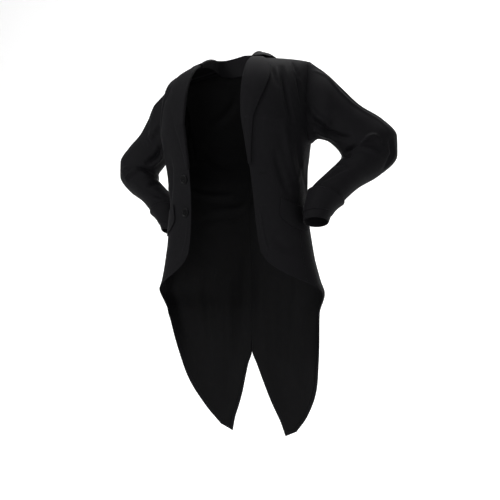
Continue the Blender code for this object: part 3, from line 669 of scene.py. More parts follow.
def front_cuts():
    """The front filled between shoulder seam, edge, armhole and side seam, and cutaway hem."""
    left, right = front_rows()
    width = np.linspace(NECK_HALF, SHOULDER_HALF, FRONT_COLUMNS + 1)
    top = plan_to_cut(width, np.full_like(width, RIDGE))
    left[0], right[0] = top[0], top[-1]
    return fill(left, right, top, along(CUTAWAY_HEM, FRONT_COLUMNS))


def side_cuts():
    """The side body filled between its two seams, the armhole's base and the skirt's corner."""
    seams = [
        cuts_through(seam, np.linspace(seam[0].height, seam[-1].height, LOWER_ROWS + 1))
        for seam in (FRONT_SIDE_SEAM, BACK_SIDE_SEAM)
    ]
    return fill(*seams, along(ARMHOLE_BASE, SIDE_COLUMNS), along(SKIRT_CORNER, SIDE_COLUMNS))


def back_cuts():
    """The back and its tail filled between outer edge, centre, neck and shoulder, and hem."""
    outer, centre = back_rows()
    neck = neck_cuts()[3:]
    shoulder = np.linspace(SHOULDER_HALF, NECK_HALF, SHOULDER_POINTS)
    top = np.concatenate([plan_to_cut(shoulder, np.full_like(shoulder, BEHIND_RIDGE)), neck[1:]])
    spread = np.linspace(0, len(top) - 1, BACK_COLUMNS + 1)
    top = through(np.arange(len(top)), top, spread)
    outer[0], centre[0] = top[0], top[-1]
    hem = np.array([TAIL_OUTER[-1], TAIL_VENT[-1]])
    bottom = hem[0] + (hem[1] - hem[0]) * np.linspace(0, 1, BACK_COLUMNS + 1)[:, None]
    return fill(outer, centre, top, bottom)


def rest_shift(side):
    """How far each ring is moved from the left sleeve's place, before it is mirrored."""
    rest = np.array(RIGHT_REST)
    stations = [ring.station for ring in SLEEVE]
    back, inward = through(rest[:, 0], rest[:, 1:], stations).T
    return np.stack([-inward, back, np.zeros(len(SLEEVE))], -1) * (side < 0)


def along_rows(grid, at):
    """The grid's rows read at fractional row numbers, straight between rows."""
    low = np.clip(np.floor(at).astype(int), 0, len(grid) - 2)
    share = (at - low)[:, None, None]
    return grid[low] * (1 - share) + grid[low + 1] * share


def inset(points, normals, top, bottom, left, right):
    """Points and normals on the same facets, drawn in by these lengths in metres at each edge."""
    rows, columns = points.shape[:2]
    steps = np.linalg.norm(np.diff(points, axis=0), axis=-1).mean(1)
    distance = np.concatenate([[0], np.cumsum(steps)])
    v = np.arange(rows, dtype=float)
    v[0] = np.interp(top, distance, np.arange(rows))
    v[-1] = np.interp(distance[-1] - bottom, distance, np.arange(rows))
    least = LEAST_SHARE * np.arange(rows)
    v = np.clip(v, v[0] + least, v[-1] - least[::-1])
    both = along_rows(np.concatenate([points, normals], -1), v)
    width = np.linalg.norm(np.diff(both[..., :3], axis=1), axis=-1).sum(1)
    least = LEAST_SHARE * np.arange(columns)
    result = np.empty_like(both)
    for row in range(rows):
        u = np.arange(columns, dtype=float)
        u[0] = left[row] / width[row] * (columns - 1)
        u[-1] -= right[row] / width[row] * (columns - 1)
        u = np.clip(u, u[0] + least, u[-1] - least[::-1])
        result[row] = along_rows(both[row][:, None], u)[:, 0]
    return result[..., :3], result[..., 3:]


def split(count, parts, margin=EDGE_SHARE):
    """Positions 0 to count with so many parts to a cell, and one more close to each end."""
    inside = np.linspace(0, count, count * parts + 1)[1:-1]
    return np.concatenate([[0, margin], inside, [count - margin, count]])


def refine(grid, rows, columns):
    """A grid read smoothly at these row and column numbers."""
    tall = through(np.arange(grid.shape[0]), grid, rows)
    wide = through(np.arange(grid.shape[1]), np.swapaxes(tall, 0, 1), columns)
    return np.swapaxes(wide, 0, 1)


def crease_relief(points, paths, scale):
    """How far creases lift each point: depth times (1 - bank q) exp(-q), q being the square of
    distance over width, faded towards both ends of the crease."""
    flat = points.reshape(-1, 3)
    relief = np.zeros(len(flat))
    for path, width, depth in paths:
        start, step = path[:-1], np.diff(path, axis=0)
        length = np.maximum((step**2).sum(1), TINY)
        reach = np.ptp(path, axis=0).max() + CREASE_REACH * width
        near = np.abs(flat - path.mean(0)).max(1) < reach
        local = flat[near][:, None] - start[None]
        share = np.clip((local * step).sum(-1) / length, 0, 1)
        distance = np.linalg.norm(local - share[..., None] * step, axis=-1)
        nearest = distance.argmin(1)
        pick = np.arange(len(nearest))
        place = (nearest + share[pick, nearest]) / len(start)
        q = (distance[pick, nearest] / width) ** 2
        fade = np.sin(np.pi * place) ** CREASE_FADE
        relief[near] += depth * scale * fade * (1 - CREASE_BANK * q) * np.exp(-q)
    return relief.reshape(points.shape[:-1])


def crease_paths(creases, surface):
    """Each crease as points on a surface, its width and its depth."""
    share = np.linspace(0, 2, CREASE_SEGMENTS + 1)
    paths = []
    for crease in creases:
        places = np.array([crease.start, crease.middle, crease.end], float)
        paths.append((surface(through(np.arange(3), places, share)), crease.width, crease.depth))
    return paths


def uneven(creases):
    """The same creases with small changes of place, length, width and depth."""
    chance = np.random.default_rng(RIGHT_SEED)
    changed = []
    for crease in creases:
        shift = chance.uniform(-1, 1, (3, 2)) * UNEVEN_PLACE
        places = [tuple(np.array(place) + move) for place, move in zip(crease[:3], shift)]
        width = crease.width * chance.uniform(*UNEVEN_WIDTH)
        changed.append(Crease(*places, width, crease.depth * chance.uniform(*UNEVEN_DEPTH)))
    return changed


def body_paths(side):
    """The body's crease lines on one side."""
    return crease_paths(BODY_CREASES if side > 0 else uneven(BODY_CREASES), body)


def cloth_lengths(points):
    """Lengths across and down the cloth, in metres, for its UV map."""
    across = np.linalg.norm(np.diff(points, axis=1), axis=-1)
    down = np.linalg.norm(np.diff(points, axis=0), axis=-1)
    u = np.concatenate([np.zeros((len(points), 1)), np.cumsum(across, axis=1)], axis=1)
    v = np.concatenate([np.zeros((1, points.shape[1])), np.cumsum(down, axis=0)], axis=0)
    return np.stack([u - u.mean(1, keepdims=True), v], -1)


def cut_size(points):
    """Flat width, length and area of a grid of cloth."""
    across = np.linalg.norm(np.diff(points, axis=1), axis=-1).sum(1).max()
    down = np.linalg.norm(np.diff(points, axis=0), axis=-1).sum(0).max()
    diagonals = points[1:, 1:] - points[:-1, :-1], points[1:, :-1] - points[:-1, 1:]
    area = np.linalg.norm(np.cross(*diagonals), axis=-1).sum() / 2
    return float(across), float(down), float(min(area, across * down))


def grid_triangles(rows, columns, wrap=False):
    """A grid's point numbers and two triangles to each cell; wrap joins its first and last
    columns."""
    index = np.arange(rows * columns).reshape(rows, columns)
    if wrap:
        index = np.concatenate([index, index[:, :1]], axis=1)
    a, b = index[:-1, :-1].ravel(), index[1:, :-1].ravel()
    c, d = index[1:, 1:].ravel(), index[:-1, 1:].ravel()
    return index, np.concatenate([np.stack([a, b, c], 1), np.stack([a, c, d], 1)])


def new_piece(name, vertices, triangles, uv, material):
    """A smooth closed mesh with outward faces, at the origin and riding on the coat's one body.

    Its faces are turned if six times its volume, the sum of each a . (b x c), is negative.
    """
    a, b, c = np.moveaxis(vertices[triangles], 1, 0)
    volume = np.einsum("ij,ij->i", a, np.cross(b, c)).sum()
    if volume < 0:
        triangles = triangles[:, ::-1]
    mesh = bpy.data.meshes.new(name)
    mesh.vertices.add(len(vertices))
    mesh.vertices.foreach_set("co", vertices.astype(np.float32).ravel())
    mesh.loops.add(triangles.size)
    mesh.loops.foreach_set("vertex_index", triangles.astype(np.int32).ravel())
    mesh.polygons.add(len(triangles))
    mesh.polygons.foreach_set("loop_start", np.arange(0, triangles.size, 3, dtype=np.int32))
    layer = mesh.uv_layers.new(name="cloth")
    mesh.update(calc_edges=True)
    layer.data.foreach_set("uv", uv[triangles.ravel()].astype(np.float32).ravel())
    mesh.shade_smooth()
    mesh.materials.append(material)
    piece = bpy.data.objects.new(name, mesh)
    bpy.context.scene.collection.objects.link(piece)
    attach(piece, "root")
    return piece


def shell(name, points, normals, low, high, side, material, wrap=False):
    """Cloth between two distances out from a grid, with a rounded rim.

    The inner and outer grids are joined by a middle rim pushed out past the edge, and the outer
    and inner edges are drawn in, so the cut edge turns over softly.
    """
    rows, columns = points.shape[:2]
    thick = high - low
    outward = np.zeros_like(points)
    outward[0] += points[0] - points[1]
    outward[-1] += points[-1] - points[-2]
    if not wrap:
        outward[:, 0] += points[:, 0] - points[:, 1]
        outward[:, -1] += points[:, -1] - points[:, -2]
    outward = unit(outward)
    index, sheet = grid_triangles(rows, columns, wrap)
    if wrap:
        loops = [index[0], index[-1][::-1]]
    else:
        loops = [np.concatenate([index[0, :-1], index[:-1, -1], index[-1, :0:-1], index[::-1, 0]])]
    inner = points + normals * low - outward * thick * RIM_INSET
    outer = points + normals * high - outward * thick * RIM_INSET
    rim_points = points + normals * (low + high) / 2 + outward * thick * RIM_BULGE
    count = rows * columns
    vertices = [inner.reshape(-1, 3), outer.reshape(-1, 3)]
    triangles = [sheet + count, sheet[:, ::-1]]
    used, start = [], 2 * count
    for loop in loops:
        ring = loop[:-1]
        vertices.append(rim_points.reshape(-1, 3)[ring])
        used.append(ring)
        p, q = ring, np.roll(ring, -1)
        m = start + np.arange(len(ring))
        n = np.roll(m, -1)
        triangles += [np.stack([p, n, q], 1), np.stack([p, m, n], 1)]
        triangles += [np.stack([m, q + count, n], 1), np.stack([m, p + count, q + count], 1)]
        start += len(ring)
    uv = cloth_lengths(points).reshape(-1, 2)
    uv = np.concatenate([uv, uv] + [uv[ring] for ring in used])
    vertices = mirrored(np.concatenate(vertices), side)
    return new_piece(name, vertices, np.concatenate(triangles), uv, material)


def cloth_piece(node, points, normals, low, high, side, material, wrap=False):
    """A shell that stands for one CAD node, whose solid it hides; the flat size of its cut is
    worked out but not used.
    """
    piece = shell(f"cloth_{node}", points, normals, low, high, side, material, wrap)
    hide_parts(node)
    across, down, area = cut_size(points)
    return piece


def ringed_piece(name, rings, ends, material):
    """Rings of points joined one to the next, and closed by a fan to a point at each end."""
    rows, sides = rings.shape[:2]
    index, walls = grid_triangles(rows, sides, wrap=True)
    first, last = np.full(sides, rows * sides), np.full(sides, rows * sides + 1)
    caps = [
        np.stack([first, index[0, :-1], index[0, 1:]], 1),
        np.stack([last, index[-1, 1:], index[-1, :-1]], 1),
    ]
    vertices = np.concatenate([rings.reshape(-1, 3), ends])
    uv = np.zeros((len(vertices), 2))
    return new_piece(name, vertices, np.concatenate([walls] + caps), uv, material)


def thread(name, path, facing):
    """A round silk thread along a path: circles square to the path."""
    tangent = unit(np.gradient(path, axis=0))
    aside = unit(np.cross(tangent, facing))
    rise = np.cross(aside, tangent)
    turn = np.linspace(0, 2 * np.pi, THREAD_SIDES, endpoint=False)[None, :, None]
    circles = aside[:, None] * np.cos(turn) + rise[:, None] * np.sin(turn)
    rings = path[:, None] + THREAD_RADIUS * circles
    piece = ringed_piece(name, rings, path[[0, -1]], silk_thread())


# Finishes


def weave_group():
    """Fine cloth: a sine of ribs slanting across the UV map, which is in metres, with a fainter
    sine of threads, and a soft uneven nap on Object coordinates."""
    group = bpy.data.node_groups.get("cloth_weave")
    if group:
        return group
    group = bpy.data.node_groups.new("cloth_weave", "ShaderNodeTree")
    for label, kind, value in (
        ("Threads per metre", "NodeSocketFloat", 900.0),
        ("Diagonal", "NodeSocketFloat", 1.0),
        ("Nap size", "NodeSocketFloat", 60.0),
    ):
        socket = group.interface.new_socket(label, in_out="INPUT", socket_type=kind)
        socket.default_value = value
    for label in ("Height", "Nap"):
        group.interface.new_socket(label, in_out="OUTPUT", socket_type="NodeSocketFloat")
    nodes, links = group.nodes, group.links
    entry, leave = nodes.new("NodeGroupInput"), nodes.new("NodeGroupOutput")
    uv = nodes.new("ShaderNodeUVMap")
    uv.uv_map = "cloth"
    parts = nodes.new("ShaderNodeSeparateXYZ")
    links.new(uv.outputs["UV"], parts.inputs[0])

    def maths(operation, *values):
        """One Math node on numbers or sockets."""
        node = nodes.new("ShaderNodeMath")
        node.operation = operation
        for socket, value in zip(node.inputs, values):
            if isinstance(value, (int, float)):
                socket.default_value = value
            else:
                links.new(value, socket)
        return node.outputs[0]

    slant = entry.outputs["Diagonal"]
    slanted = maths("MULTIPLY_ADD", parts.outputs["X"], slant, parts.outputs["Y"])
    turns = maths("MULTIPLY", entry.outputs["Threads per metre"], 2 * np.pi)
    rib = maths("SINE", maths("MULTIPLY", slanted, turns))
    cross = maths("SINE", maths("MULTIPLY", parts.outputs["X"], turns))
    height = maths("MULTIPLY_ADD", cross, CROSS_THREAD, rib)
    links.new(height, leave.inputs["Height"])
    place = nodes.new("ShaderNodeTexCoord")
    nap = nodes.new("ShaderNodeTexNoise")
    nap.inputs["Detail"].default_value = NAP_DETAIL
    links.new(place.outputs["Object"], nap.inputs["Vector"])
    links.new(entry.outputs["Nap size"], nap.inputs["Scale"])
    links.new(nap.outputs["Fac"], leave.inputs["Nap"])
    return group


def plain_material(name, roughness, specular):
    """A new material with this roughness and gloss, and its shader."""
    material = bpy.data.materials.new(name)
    material.use_nodes = True
    shader = material.node_tree.nodes["Principled BSDF"]
    shader.inputs["Roughness"].default_value = roughness
    shader.inputs["Specular IOR Level"].default_value = specular
    return material, shader


def wander(material, shader, mask, dark, light):
    """Base colour mixed from a dark to a light shade by a mask."""
    blend = material.node_tree.nodes.new("ShaderNodeMix")
    blend.data_type = "RGBA"
    blend.inputs["A"].default_value = (*dark, 1)
    blend.inputs["B"].default_value = (*light, 1)
    links = material.node_tree.links
    links.new(mask, blend.inputs["Factor"])
    links.new(blend.outputs["Result"], shader.inputs["Base Color"])


def cloth_material(finish, shade):
    """Cloth: its colour wanders between two shades with the nap, and its threads are bump."""
    if finish.name in bpy.data.materials:
        return bpy.data.materials[finish.name]
    material, shader = plain_material(finish.name, finish.roughness, finish.specular)
    nodes, links = material.node_tree.nodes, material.node_tree.links
    shader.inputs["Sheen Weight"].default_value = finish.sheen
    shader.inputs["Sheen Roughness"].default_value = SHEEN_ROUGHNESS
    shader.inputs["Sheen Tint"].default_value = SHEEN_TINT
    weave = nodes.new("ShaderNodeGroup")
    weave.node_tree = weave_group()
    weave.inputs["Threads per metre"].default_value = finish.threads
    weave.inputs["Diagonal"].default_value = finish.slant
    shade = np.array(shade)
    dark, light = shade * (1 - finish.wander), shade * (1 + finish.wander)
    wander(material, shader, weave.outputs["Nap"], dark, light)
    relief = nodes.new("ShaderNodeBump")
    relief.inputs["Strength"].default_value = finish.relief
    relief.inputs["Distance"].default_value = THREAD_HEIGHT
    links.new(weave.outputs["Height"], relief.inputs["Height"])
    links.new(relief.outputs["Normal"], shader.inputs["Normal"])
    return material


def wool():
    """Near-black ribbed wool, matt, with a faint nap."""
    return cloth_material(WOOL, bpy.context.scene.tailcoat_cloth.wool_colour)


def satin():
    """Smooth dark lining with a soft gloss."""
    return cloth_material(SATIN, bpy.context.scene.tailcoat_cloth.lining_colour)


def horn():
    """Dark horn with faint streaks and a soft polish."""
    name = "dark_horn"
    if name in bpy.data.materials:
        return bpy.data.materials[name]
    material, shader = plain_material(name, HORN_ROUGHNESS, SOFT_GLOSS)
    nodes, links = material.node_tree.nodes, material.node_tree.links
    place = nodes.new("ShaderNodeTexCoord")
    stretch = nodes.new("ShaderNodeMapping")
    stretch.inputs["Scale"].default_value = STREAK_STRETCH
    streaks = nodes.new("ShaderNodeTexNoise")
    streaks.inputs["Scale"].default_value = STREAK_SCALE
    streaks.inputs["Detail"].default_value = STREAK_DETAIL
    links.new(place.outputs["Object"], stretch.inputs["Vector"])
    links.new(stretch.outputs["Vector"], streaks.inputs["Vector"])
    shade = np.array(bpy.context.scene.tailcoat_buttons.colour)
    dark, light = (shade * share for share in STREAK_SHADES)
    wander(material, shader, streaks.outputs["Fac"], dark, light)
    return material


def silk_thread():
    """Black silk twist for buttonholes and button sewing."""
    name = "silk_thread"
    if name in bpy.data.materials:
        return bpy.data.materials[name]
    material, shader = plain_material(name, SILK_ROUGHNESS, SOFT_GLOSS)
    shader.inputs["Base Color"].default_value = SILK_COLOUR
    return material


# Pieces


def on_body(cuts, side):
    """Points and normals of the body's surface at these cuts, moved out by its creases."""
    points, out = body(cuts), body_normal(cuts)
    scale = bpy.context.scene.tailcoat_cloth.crease_depth
    relief = crease_relief(points, body_paths(side), scale)
    return points + out * relief[..., None], out


def fine_cuts(coarse):
    """A panel's cuts on its fine grid."""
    rows, columns = coarse.shape[:2]
    return refine(coarse, split(rows - 1, ROW_SPLIT), split(columns - 1, COLUMN_SPLIT))


def make_panels(side):
    """Front, side and back: the body's surface between the panel's edges, drawn in at seams."""
    for node, cuts, seams in (
        ("front", front_cuts(), ["top", "right"]),
        ("side", side_cuts(), ["left", "right"]),
        ("back", back_cuts(), ["top", "left", "right"]),
    ):
        points, out = on_body(fine_cuts(cuts), side)
        name = f"{node}_{side_name(side)}"
        cloth_piece(name, trim(points, seams), out, 0.0, CLOTH, side, wool())


def make_linings(side):
    """Back and side linings: the same surface just inside the cloth, short of its turned-in
    edges."""
    label = side_name(side)
    coarse = back_cuts()
    points, out = on_body(fine_cuts(coarse), side)
    rows = split(len(coarse) - 1, ROW_SPLIT)
    tail_row = SHOULDER_ROWS + 1 + LOWER_ROWS
    outer = np.interp(rows, [tail_row - 1, tail_row + 1], [LINING_SEAM, TURN_IN])
    vent_row = tail_row + VENT_START_ROWS
    centre = np.interp(rows, [vent_row - 1, vent_row + 1], [LINING_SEAM, TURN_IN])
    at, facing = inset(points, out, NECK_FACING, TURN_IN, outer, centre)
    far = LINING_LIFT + LINING
    cloth_piece(f"lining_back_{label}", at, facing, -far, -LINING_LIFT, side, satin())
    points, out = on_body(fine_cuts(side_cuts()), side)
    edge = np.full(len(points), LINING_SEAM)
    at, facing = inset(points, out, LINING_SEAM, SKIRT_TURN_IN, edge, edge)
    cloth_piece(f"lining_side_{label}", at, facing, -far, -LINING_LIFT, side, satin())


def armhole():
    """The armhole's cuts, from its top down the front and up the back."""
    front = front_cuts()[: SHOULDER_ROWS + 2, -1]
    back = back_cuts()[: SHOULDER_ROWS + 2, 0][::-1]
    return np.concatenate([front[:-1], side_cuts()[0][:-1], back])


def sleeve_surface(stations, columns, side):
    """Sleeve points and normals at any station and column, before its creases.

    Each ring is middle + reach cos(turn) + breadth sin(turn), the turn being the share of the
    armhole's length. The rings are joined smoothly from the creased armhole down, and the head's
    edge is tucked into the armhole seam.
    """
    ring = armhole()
    length = lengths_along(body(ring))
    whole = np.arange(len(ring))
    turn = through(whole, 2 * np.pi * length / length[-1], columns)
    start, out = on_body(through(whole, ring, columns), side)
    level = np.array([1.0, 0.0, 1.0])
    beside = np.clip(1 - np.minimum(columns, whole[-1] - columns), 0, 1)[:, None]
    out = unit(out * (1 - beside) + out * level * beside)
    table = np.array(SLEEVE)
    inner, outer, breadth = table[:, 1:4], table[:, 4:7], table[:, 7]
    middle, reach = (inner + outer) / 2 + rest_shift(side), (outer - inner) / 2
    rings = (
        middle[:, None]
        + reach[:, None] * np.cos(turn)[None, :, None]
        + BREADTH_AXIS * breadth[:, None, None] * np.sin(turn)[None, :, None]
    )
    lift = CLOTH + SLEEVE_GAP
    knots = np.concatenate([[0.0], table[:, 0]])
    plain = np.concatenate([(start + out * lift)[None], rings])
    draft = through(knots, plain, [0.0, 0.5, 1.0])
    into_body = np.maximum(0, (grid_normals(draft)[0] * out).sum(-1, keepdims=True))
    head = start + out * (lift + CLOTH * into_body)
    stations = np.asarray(stations, float)
    grid = through(knots, np.concatenate([head[None], rings]), stations)
    tuck = np.clip(1 - stations / TUCK_STATIONS, 0, 1)[:, None, None] ** 2
    return grid - out[None] * tuck * TUCK, -grid_normals(grid)


def sleeve_paths(side):
    """The sleeve's creases as points on its plain surface."""
    rows = int(SLEEVE[-1].station) * PLAIN_SPLIT
    columns = RING_COLUMNS * SLEEVE_SPLIT
    stations = np.linspace(0, SLEEVE[-1].station, rows + 1)
    plain, _ = sleeve_surface(stations, np.linspace(0, RING_COLUMNS, columns + 1), side)

    def surface(places):
        """The plain sleeve's nearest point to each (station, column)."""
        row = np.clip(places[:, 0] * PLAIN_SPLIT, 0, rows).round().astype(int)
        column = np.clip(places[:, 1] * SLEEVE_SPLIT, 0, columns).round().astype(int)
        return plain[row, column]

    creases = LEFT_SLEEVE_CREASES if side > 0 else RIGHT_SLEEVE_CREASES
    return [
        (path, width * SLEEVE_CREASE_WIDTH, depth * SLEEVE_CREASE_DEPTH)
        for path, width, depth in crease_paths(creases, surface)
    ]


def creased_sleeve(stations, side, paths):
    """The whole sleeve with its creases, which set in just below its head; its first and last
    columns are the same line and share their normals."""
    columns = np.linspace(0, RING_COLUMNS, RING_COLUMNS * SLEEVE_SPLIT + 1)
    points, out = sleeve_surface(stations, columns, side)
    relief = crease_relief(points, paths, bpy.context.scene.tailcoat_cloth.crease_depth)
    calm = np.clip(np.asarray(stations, float) / CALM_STATIONS, 0, 1)[:, None]
    points = points + out * (relief * calm)[..., None]
    out[:, 0] = out[:, -1] = unit(out[:, 0] + out[:, -1])
    return points, out


def make_sleeve(side):
    """Upper and under sleeve, shares of one creased tube, and the turned-back cuff, the same
    tube moved out and flared at its top."""
    label = side_name(side)
    last = SLEEVE[-1].station
    inside = np.linspace(SLEEVE_FIRST, last - SLEEVE_LAST, SLEEVE_STATIONS)
    stations = np.concatenate([[0, SLEEVE_EDGE], inside, [last - SLEEVE_EDGE, last]])
    paths = sleeve_paths(side)
    upper = INNER_SEAM_COLUMN - HIND_SEAM_COLUMN
    spans = {
        "upper_sleeve": HIND_SEAM_COLUMN + split(upper, SLEEVE_SPLIT),
        "under_sleeve": INNER_SEAM_COLUMN + split(RING_COLUMNS - upper, SLEEVE_SPLIT),
    }
    grid, out = creased_sleeve(stations, side, paths)
    for name, columns in spans.items():
        place = np.mod(columns, RING_COLUMNS) * SLEEVE_SPLIT
        low = np.floor(place).astype(int)
        high = np.minimum(low + 1, grid.shape[1] - 1)
        share = (place - low)[None, :, None]
        points = grid[:, low] * (1 - share) + grid[:, high] * share
        facing = unit(out[:, low] * (1 - share) + out[:, high] * share)
        points = trim(points, ["left", "right"])
        cloth_piece(f"{name}_{label}", points, facing, 0.0, CLOTH, side, wool())
    start, end, edge = CUFF_START, CUFF_END, CUFF_EDGE
    inside = np.linspace(start + 2 * edge, end - 2 * edge, CUFF_STATIONS)
    stations = np.concatenate([[start, start + edge], inside, [end - edge, end]])
    grid, out = creased_sleeve(stations, side, paths)
    flare = CUFF_FLARE * np.clip(1 - (stations - start) / FLARE_STATIONS, 0, 1) ** 2
    grid, out = (grid + out * flare[:, None, None])[:, :-1], out[:, :-1]
    low = CLOTH + CUFF_GAP
    cloth_piece(f"cuff_{label}", grid, out, low, low + CLOTH, side, wool(), wrap=True)


def make_collar():
    """Stand and fall in one: a section carried round the neckline, smooth both ways."""
    table = np.array(NECKLINE)
    half = through(np.arange(len(table)), table, split(len(table) - 1, ROW_SPLIT))
    x, y, stand, fall_x, fall_y = half.T
    base = body(plan_to_cut(x, y))
    rest_cuts = plan_to_cut(fall_x, fall_y)
    rest = body(rest_cuts) + body_normal(rest_cuts) * (CLOTH + COLLAR_GAP + CLOTH / 2)
    out = unit((rest - base) * [1, 1, 0])
    up = np.array([0, 0, 1.0])
    stand = stand[:, None]
    lean = COLLAR_LEAN * stand
    section = [
        base - out * COLLAR_INSET - up * COLLAR_BELOW,
        base - out * (COLLAR_INSET + lean / 2) + up * stand / 2,
        base - out * (COLLAR_INSET + lean) + up * stand,
    ]
    section += [base + out * (fold.out - lean) + up * (stand + fold.up) for fold in COLLAR_FOLD]
    belly = (section[-1] + rest) / 2 + up * COLLAR_BELLY.up + out * COLLAR_BELLY.out
    section = np.stack(section + [belly, rest])
    places = split(len(section) - 1, COLUMN_SPLIT)
    left = np.swapaxes(through(np.arange(len(section)), section, places), 0, 1)
    points = np.concatenate([left, mirrored(left[-2::-1], -1)])
    cloth_piece("collar", points, grid_normals(points), -CLOTH / 2, CLOTH / 2, 1, wool())


def make_lapel(side):
    """The front folded back: it rolls round the front edge and lies on the front, bowed a
    little."""
    table = np.array(LAPEL)
    coarse = np.concatenate([table[:1, 0], np.linspace(table[1, 0], table[-1, 0], LAPEL_ROWS)])
    heights = through(np.arange(len(coarse)), coarse, split(len(coarse) - 1, ROW_SPLIT))
    outer = through(table[:, 0], table[:, 1], heights)
    edge = cuts_through(front_edge_cuts(), heights)
    far = across_to_cut(outer, np.minimum(heights, CHEST))
    far[:, 1] = heights
    columns = split(len(LAPEL_COLUMNS) - 1, COLUMN_SPLIT)
    share, lift = through(np.arange(len(LAPEL_COLUMNS)), np.array(LAPEL_COLUMNS), columns).T
    roll = np.interp(columns, np.arange(len(LAPEL_ROLL) + 1), LAPEL_ROLL + [0.0])
    cuts = edge[:, None] + (far - edge)[:, None] * share[None, :, None]
    points, normals = on_body(cuts, side)
    across = unit(points[:, -1] - points[:, 0])
    points = points + normals * lift[None, :, None] - across[:, None] * roll[None, :, None]
    facing = grid_normals(points)
    facing *= np.sign((facing[:, -1:] * normals[:, -1:]).sum(-1, keepdims=True))
    name = f"lapel_{side_name(side)}"
    cloth_piece(name, points, facing, -CLOTH / 2, CLOTH / 2, side, wool())


def make_flap(side):
    """A pocket flap: the creased surface under it moved out, hanging from its slanted top."""
    top = along(FLAP_TOP, FLAP_COLUMNS)
    bottom = along(FLAP_BOTTOM, FLAP_COLUMNS)
    v = np.linspace(0, 1, FLAP_ROWS)[:, None, None]
    rows = split(FLAP_ROWS - 1, FLAP_SPLIT, FLAP_EDGE_SHARE)
    columns = split(FLAP_COLUMNS, FLAP_SPLIT, FLAP_EDGE_SHARE)
    cuts = refine(top[None] * (1 - v) + bottom[None] * v, rows, columns)
    points, out = on_body(cuts, side)
    low = CLOTH + FLAP_GAP
    cloth_piece(f"flap_{side_name(side)}", points, out, low, low + CLOTH, side, wool())


def button_seat(height):
    """Where a button lies on the wearer's right front, and its three axes."""
    edge = body(cuts_through(front_edge_cuts(), np.array([height])))
    cut = across_to_cut(edge[0, 0] + BUTTON_FROM_EDGE, np.array([height]))
    points, out = on_body(cut, -1)
    seat, axis = mirrored(points[0], -1), mirrored(out[0], -1)
    aside = unit(np.cross(axis, [0, 0, 1.0]))
    return seat, axis, aside, np.cross(aside, axis)


def make_button(node, height):
    """A turned disc with a raised rim and a dished middle pierced by four holes.

    Its profile is carried round the axis, and the top is lowered by a soft round pit at each
    hole. Two threads are sewn across, bowed a little and dipping into the holes.
    """
    seat, axis, aside, upward = button_seat(height)
    radius = bpy.context.scene.tailcoat_buttons.radius
    profile = np.array(BUTTON_PROFILE) * [radius, BUTTON_THICK]
    profile[:, 1] += CLOTH + 2 * SEAM_GAP
    length = lengths_along(profile)
    places = np.linspace(0, length[-1], BUTTON_RINGS)
    out, rise = through(length, profile, places).T
    out = np.maximum(out, LEAST_RADIUS)
    turn = np.linspace(0, 2 * np.pi, BUTTON_TURNS, endpoint=False)
    x, y = out[:, None] * np.cos(turn), out[:, None] * np.sin(turn)
    top = places[:, None] > length[RIM_TOP_POINT]
    rise = np.repeat(rise[:, None], BUTTON_TURNS, axis=1)
    half = HOLE_SPREAD / 2
    for across, up in ((-half, -half), (-half, half), (half, -half), (half, half)):
        pit = np.clip(HOLE_SOFTNESS - np.hypot(x - across, y - up) / HOLE_RADIUS, 0, 1)
        rise = rise - top * HOLE_DEPTH * pit**2 * (3 - 2 * pit)
    rings = seat + axis * rise[..., None] + aside * x[..., None] + upward * y[..., None]
    level = rise[-1].mean()
    ends = [seat + axis * rise[0].mean(), seat + axis * level]
    piece = ringed_piece(f"turned_{node}", rings, ends, horn())
    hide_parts(node)
    span = np.linspace(-1, 1, SEWING_POINTS)
    bow = level + SEWING_BOW * (1 - span**2) - HOLE_DEPTH * SEWING_DIP * span**8
    sewing = seat + axis * bow[:, None] + upward * (span * half)[:, None]
    for number, across in enumerate((-half, half)):
        thread(f"thread_{node}_{number + 1}", sewing + aside * across, axis)


def make_buttonhole(number, height):
    """A worked buttonhole on the wearer's left front: a long narrow ellipse of twist."""
    edge = body(cuts_through(front_edge_cuts(), np.array([height])))[0, 0]
    turn = np.linspace(0, 2 * np.pi, BUTTONHOLE_POINTS)
    x = edge + BUTTONHOLE_FROM_EDGE + BUTTONHOLE_LENGTH / 2 * (1 + np.cos(turn))
    places = across_to_cut(x, height + BUTTONHOLE_HALF_WIDTH * np.sin(turn))
    points, out = on_body(places, 1)
    thread(f"buttonhole_{number}", points + out * (CLOTH + BUTTONHOLE_LIFT), out)


# Stage


def link_facing(name, data, place, direction):
    """A lamp or camera at a place, looking along a direction."""
    thing = bpy.data.objects.new(name, data)
    thing.location = place
    thing.rotation_euler = Vector(direction).to_track_quat("-Z", "Y").to_euler()
    bpy.context.scene.collection.objects.link(thing)
    return thing


